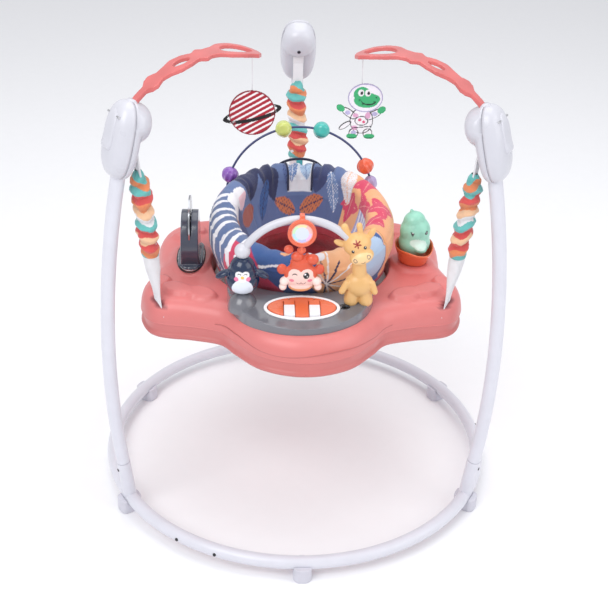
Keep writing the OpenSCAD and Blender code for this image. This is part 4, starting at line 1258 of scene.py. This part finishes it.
def seat_collar():
    n, m = ((580, 144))
    P = np.zeros((n, m, 3))
    U, V = np.zeros((n, m)), np.zeros((n, m))
    panel_seams = [math.radians(x) for x in (-128, -62, 62, 128)]
    for i in range(n):
        t = -PI + 2 * PI * i / n
        deg = math.degrees(t)
        top = crest(deg)
        pucker = math.exp(-((abs(deg) - 165) / 26) ** 2)
        notch = max(0.0, 1 - (abs(abs(deg) - 180) / 24) ** 2)
        for j in range(m):
            f = j / (m - 1)
            # section: out along the bottom, round the outside, over the top, down the inside
            if f < 0.42:
                g = f / 0.42
                z = 457 + (top - 26 - 457) * g
                r = 165.5 + 15.5 * math.sin(min(1, max(0, (z - 470) / 42)) * PI / 2) - 5.0 * max(0,
                        (z - 520) / 60) ** 1.4
            elif f < 0.72:
                g = (f - 0.42) / 0.30 * PI
                r = 149.5 + 27 * math.cos(g) - 2.0 * math.sin(g)
                z = top - 26 + 26 * math.sin(g)
            else:
                g = (f - 0.72) / 0.28
                z = top - 26 - (top - 26 - 470) * g
                r = 122.5 - 30 * g ** 1.3 + 3 * math.sin(g * PI)
            v = f * 330
            crease = 0.0
            for sm in panel_seams:
                d = abs(((t - sm + PI) % (2 * PI)) - PI) * 165
                crease = max(crease, math.exp(-(d / 5.0) ** 2))
            q = Vector((math.sin(t) * 3.0, math.cos(t) * 3.0, f * 3.2))
            puff = 2.6 * noise.noise(q) + 1.5 * noise.noise(q * 2.6) + 0.7 * noise.noise(q * 6)
            rad_fold = ((1.4 + 6.0 * pucker) * math.sin(t * 30 + 3 * noise.noise(q * 1.5))
                        * (1 - abs(2 * f - 1)) * math.exp(-((f - 0.6) / 0.18) ** 2))
            low = min(1.0, max(0.0, (z - 466) / 30)) if f < 0.42 else 1.0
            inward = min(puff - 2.4 + rad_fold - 3.6 * crease,
                    5.5 * min(1.0, max(0.0, (f - 0.5) / 0.1)) - 3.0) * low
            if 0.42 <= f < 0.72:
                r2, z2 = r + inward * math.cos(g), z + inward * math.sin(g) * 0.8
            elif f < 0.42:
                r2, z2 = r + inward - 0.4, z
            else:
                r2, z2 = r - inward * 0.6, z
            z2 -= 6 * notch * math.sin(max(0, min(1, (f - 0.3) / 0.5)) * PI)
            P[i, j] = (r2 * math.sin(t), -r2 * math.cos(t), z2)
            U[i, j], V[i, j] = t * 170, v
    o = grid("seat_collar", P, None, "cloth", wrap_v=True)
    rgb = seat_paint(U.ravel(), V.ravel())
    inner = V.ravel() > 318
    rgb[inner] = srgb(168, 48, 60)
    # Painted shade: the panel seams, pressed in as creases above, are painted 30 % darker as the shade in
    # them.
    seam = np.zeros(len(rgb), bool)
    for sm in panel_seams:
        seam |= np.abs(U.ravel() - sm * 170) < 1.0
    rgb[seam & ~inner] *= 0.7
    set_colour(o, rgb)
    dress(o, "seat", "cloth", "seat_pad")
    for side, col in (("left", int(n * 11.5 / 360)), ("right", n - int(n * 11.5 / 360))):
        line = P[col, int(0.22 * m):int(0.80 * m):3]
        mid = np.array([line[:, 0].mean(), line[:, 1].mean(), line[:, 2].max() - 30])
        out = (line - mid) / np.linalg.norm(line - mid, axis=1)[:, None]
        piping = tube("seat_piping_" + side, line + out * 0.8, 2.1, None, "cloth", n=10)
        paint(piping, lambda x, y, z: canvas(x, srgb(36, 42, 74)))
        dress(piping, "seat", "cloth", ())
    peak = P[0, int(0.5 * m)]
    tab = blob("seat_tab",
            [((peak[0] - 4, peak[1], peak[2] - 4), (peak[0] - 4, peak[1] + 1, peak[2] + 9), 2.2, 2.4),
            ((peak[0] + 4, peak[1], peak[2] - 4), (peak[0] + 4, peak[1] + 1, peak[2] + 9),
            2.2, 2.4),
            ((peak[0], peak[1] + 0.5, peak[2] + 3), (6, 2.4, 9), 0)], "seat", "cloth", 0.8, 3)
    paint(tab, lambda x, y, z: canvas(x, srgb(92, 190, 190)))


seat_collar()


def seat_gusset():
    """Dark piping arch behind the back of the collar."""
    pts = []
    for k in range(25):
        t = PI * k / 24
        x = 52 * math.cos(t)
        z = 560 + 50 * math.sin(t)
        y = math.sqrt(max(0.0, 181 ** 2 - x * x)) * (1 - 0.03 * math.sin(t)) - 30 * math.sin(t) ** 2
        pts.append((x, y - 2, z))
    o = tube("seat_piping", pts, 2.6, None, "cloth", n=12)
    paint(o, lambda x, y, z: canvas(x, srgb(34, 38, 66)))
    dress(o, "seat", "cloth", ())


seat_gusset()


def sling():
    o = moulded("seat_sling", "lining", 2.6, 6, name="seat_sling_cloth")
    co = co_of(o)
    r = np.hypot(co[:, 0], co[:, 1])
    d = np.array([2.2 * rumple(c, 34, 2.0) + 1.0 * rumple(c, 13, 5.0) for c in co])
    neck = np.clip((co[:, 2] - 425) / 40, 0, 1)
    neck = neck * neck * (3 - 2 * neck)
    pull = 1 - neck * (1 - 93.0 / np.maximum(r, 93.0))
    co[:, 0] *= pull
    co[:, 1] *= pull
    co[:, 2] = np.where(co[:, 2] > 474, 474 + (co[:, 2] - 474) * 0.02, co[:, 2])
    keep = np.clip((co[:, 2] - 300) / 30, 0, 1) * np.clip((560 - co[:, 2]) / 60, 0, 1)
    k = 1 - np.abs(d) * keep / np.maximum(r, 30)
    co[:, 0] *= k
    co[:, 1] *= k
    set_co(o, co)


sling()

# ---------------------------------------------------------------- hand over
def plain(b):
    return [[float(c) for c in p] for p in b] if hasattr(b[0], "__len__") else [float(c) for c in b]
{"cad": plain(cad_box), "visual": plain(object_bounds())}
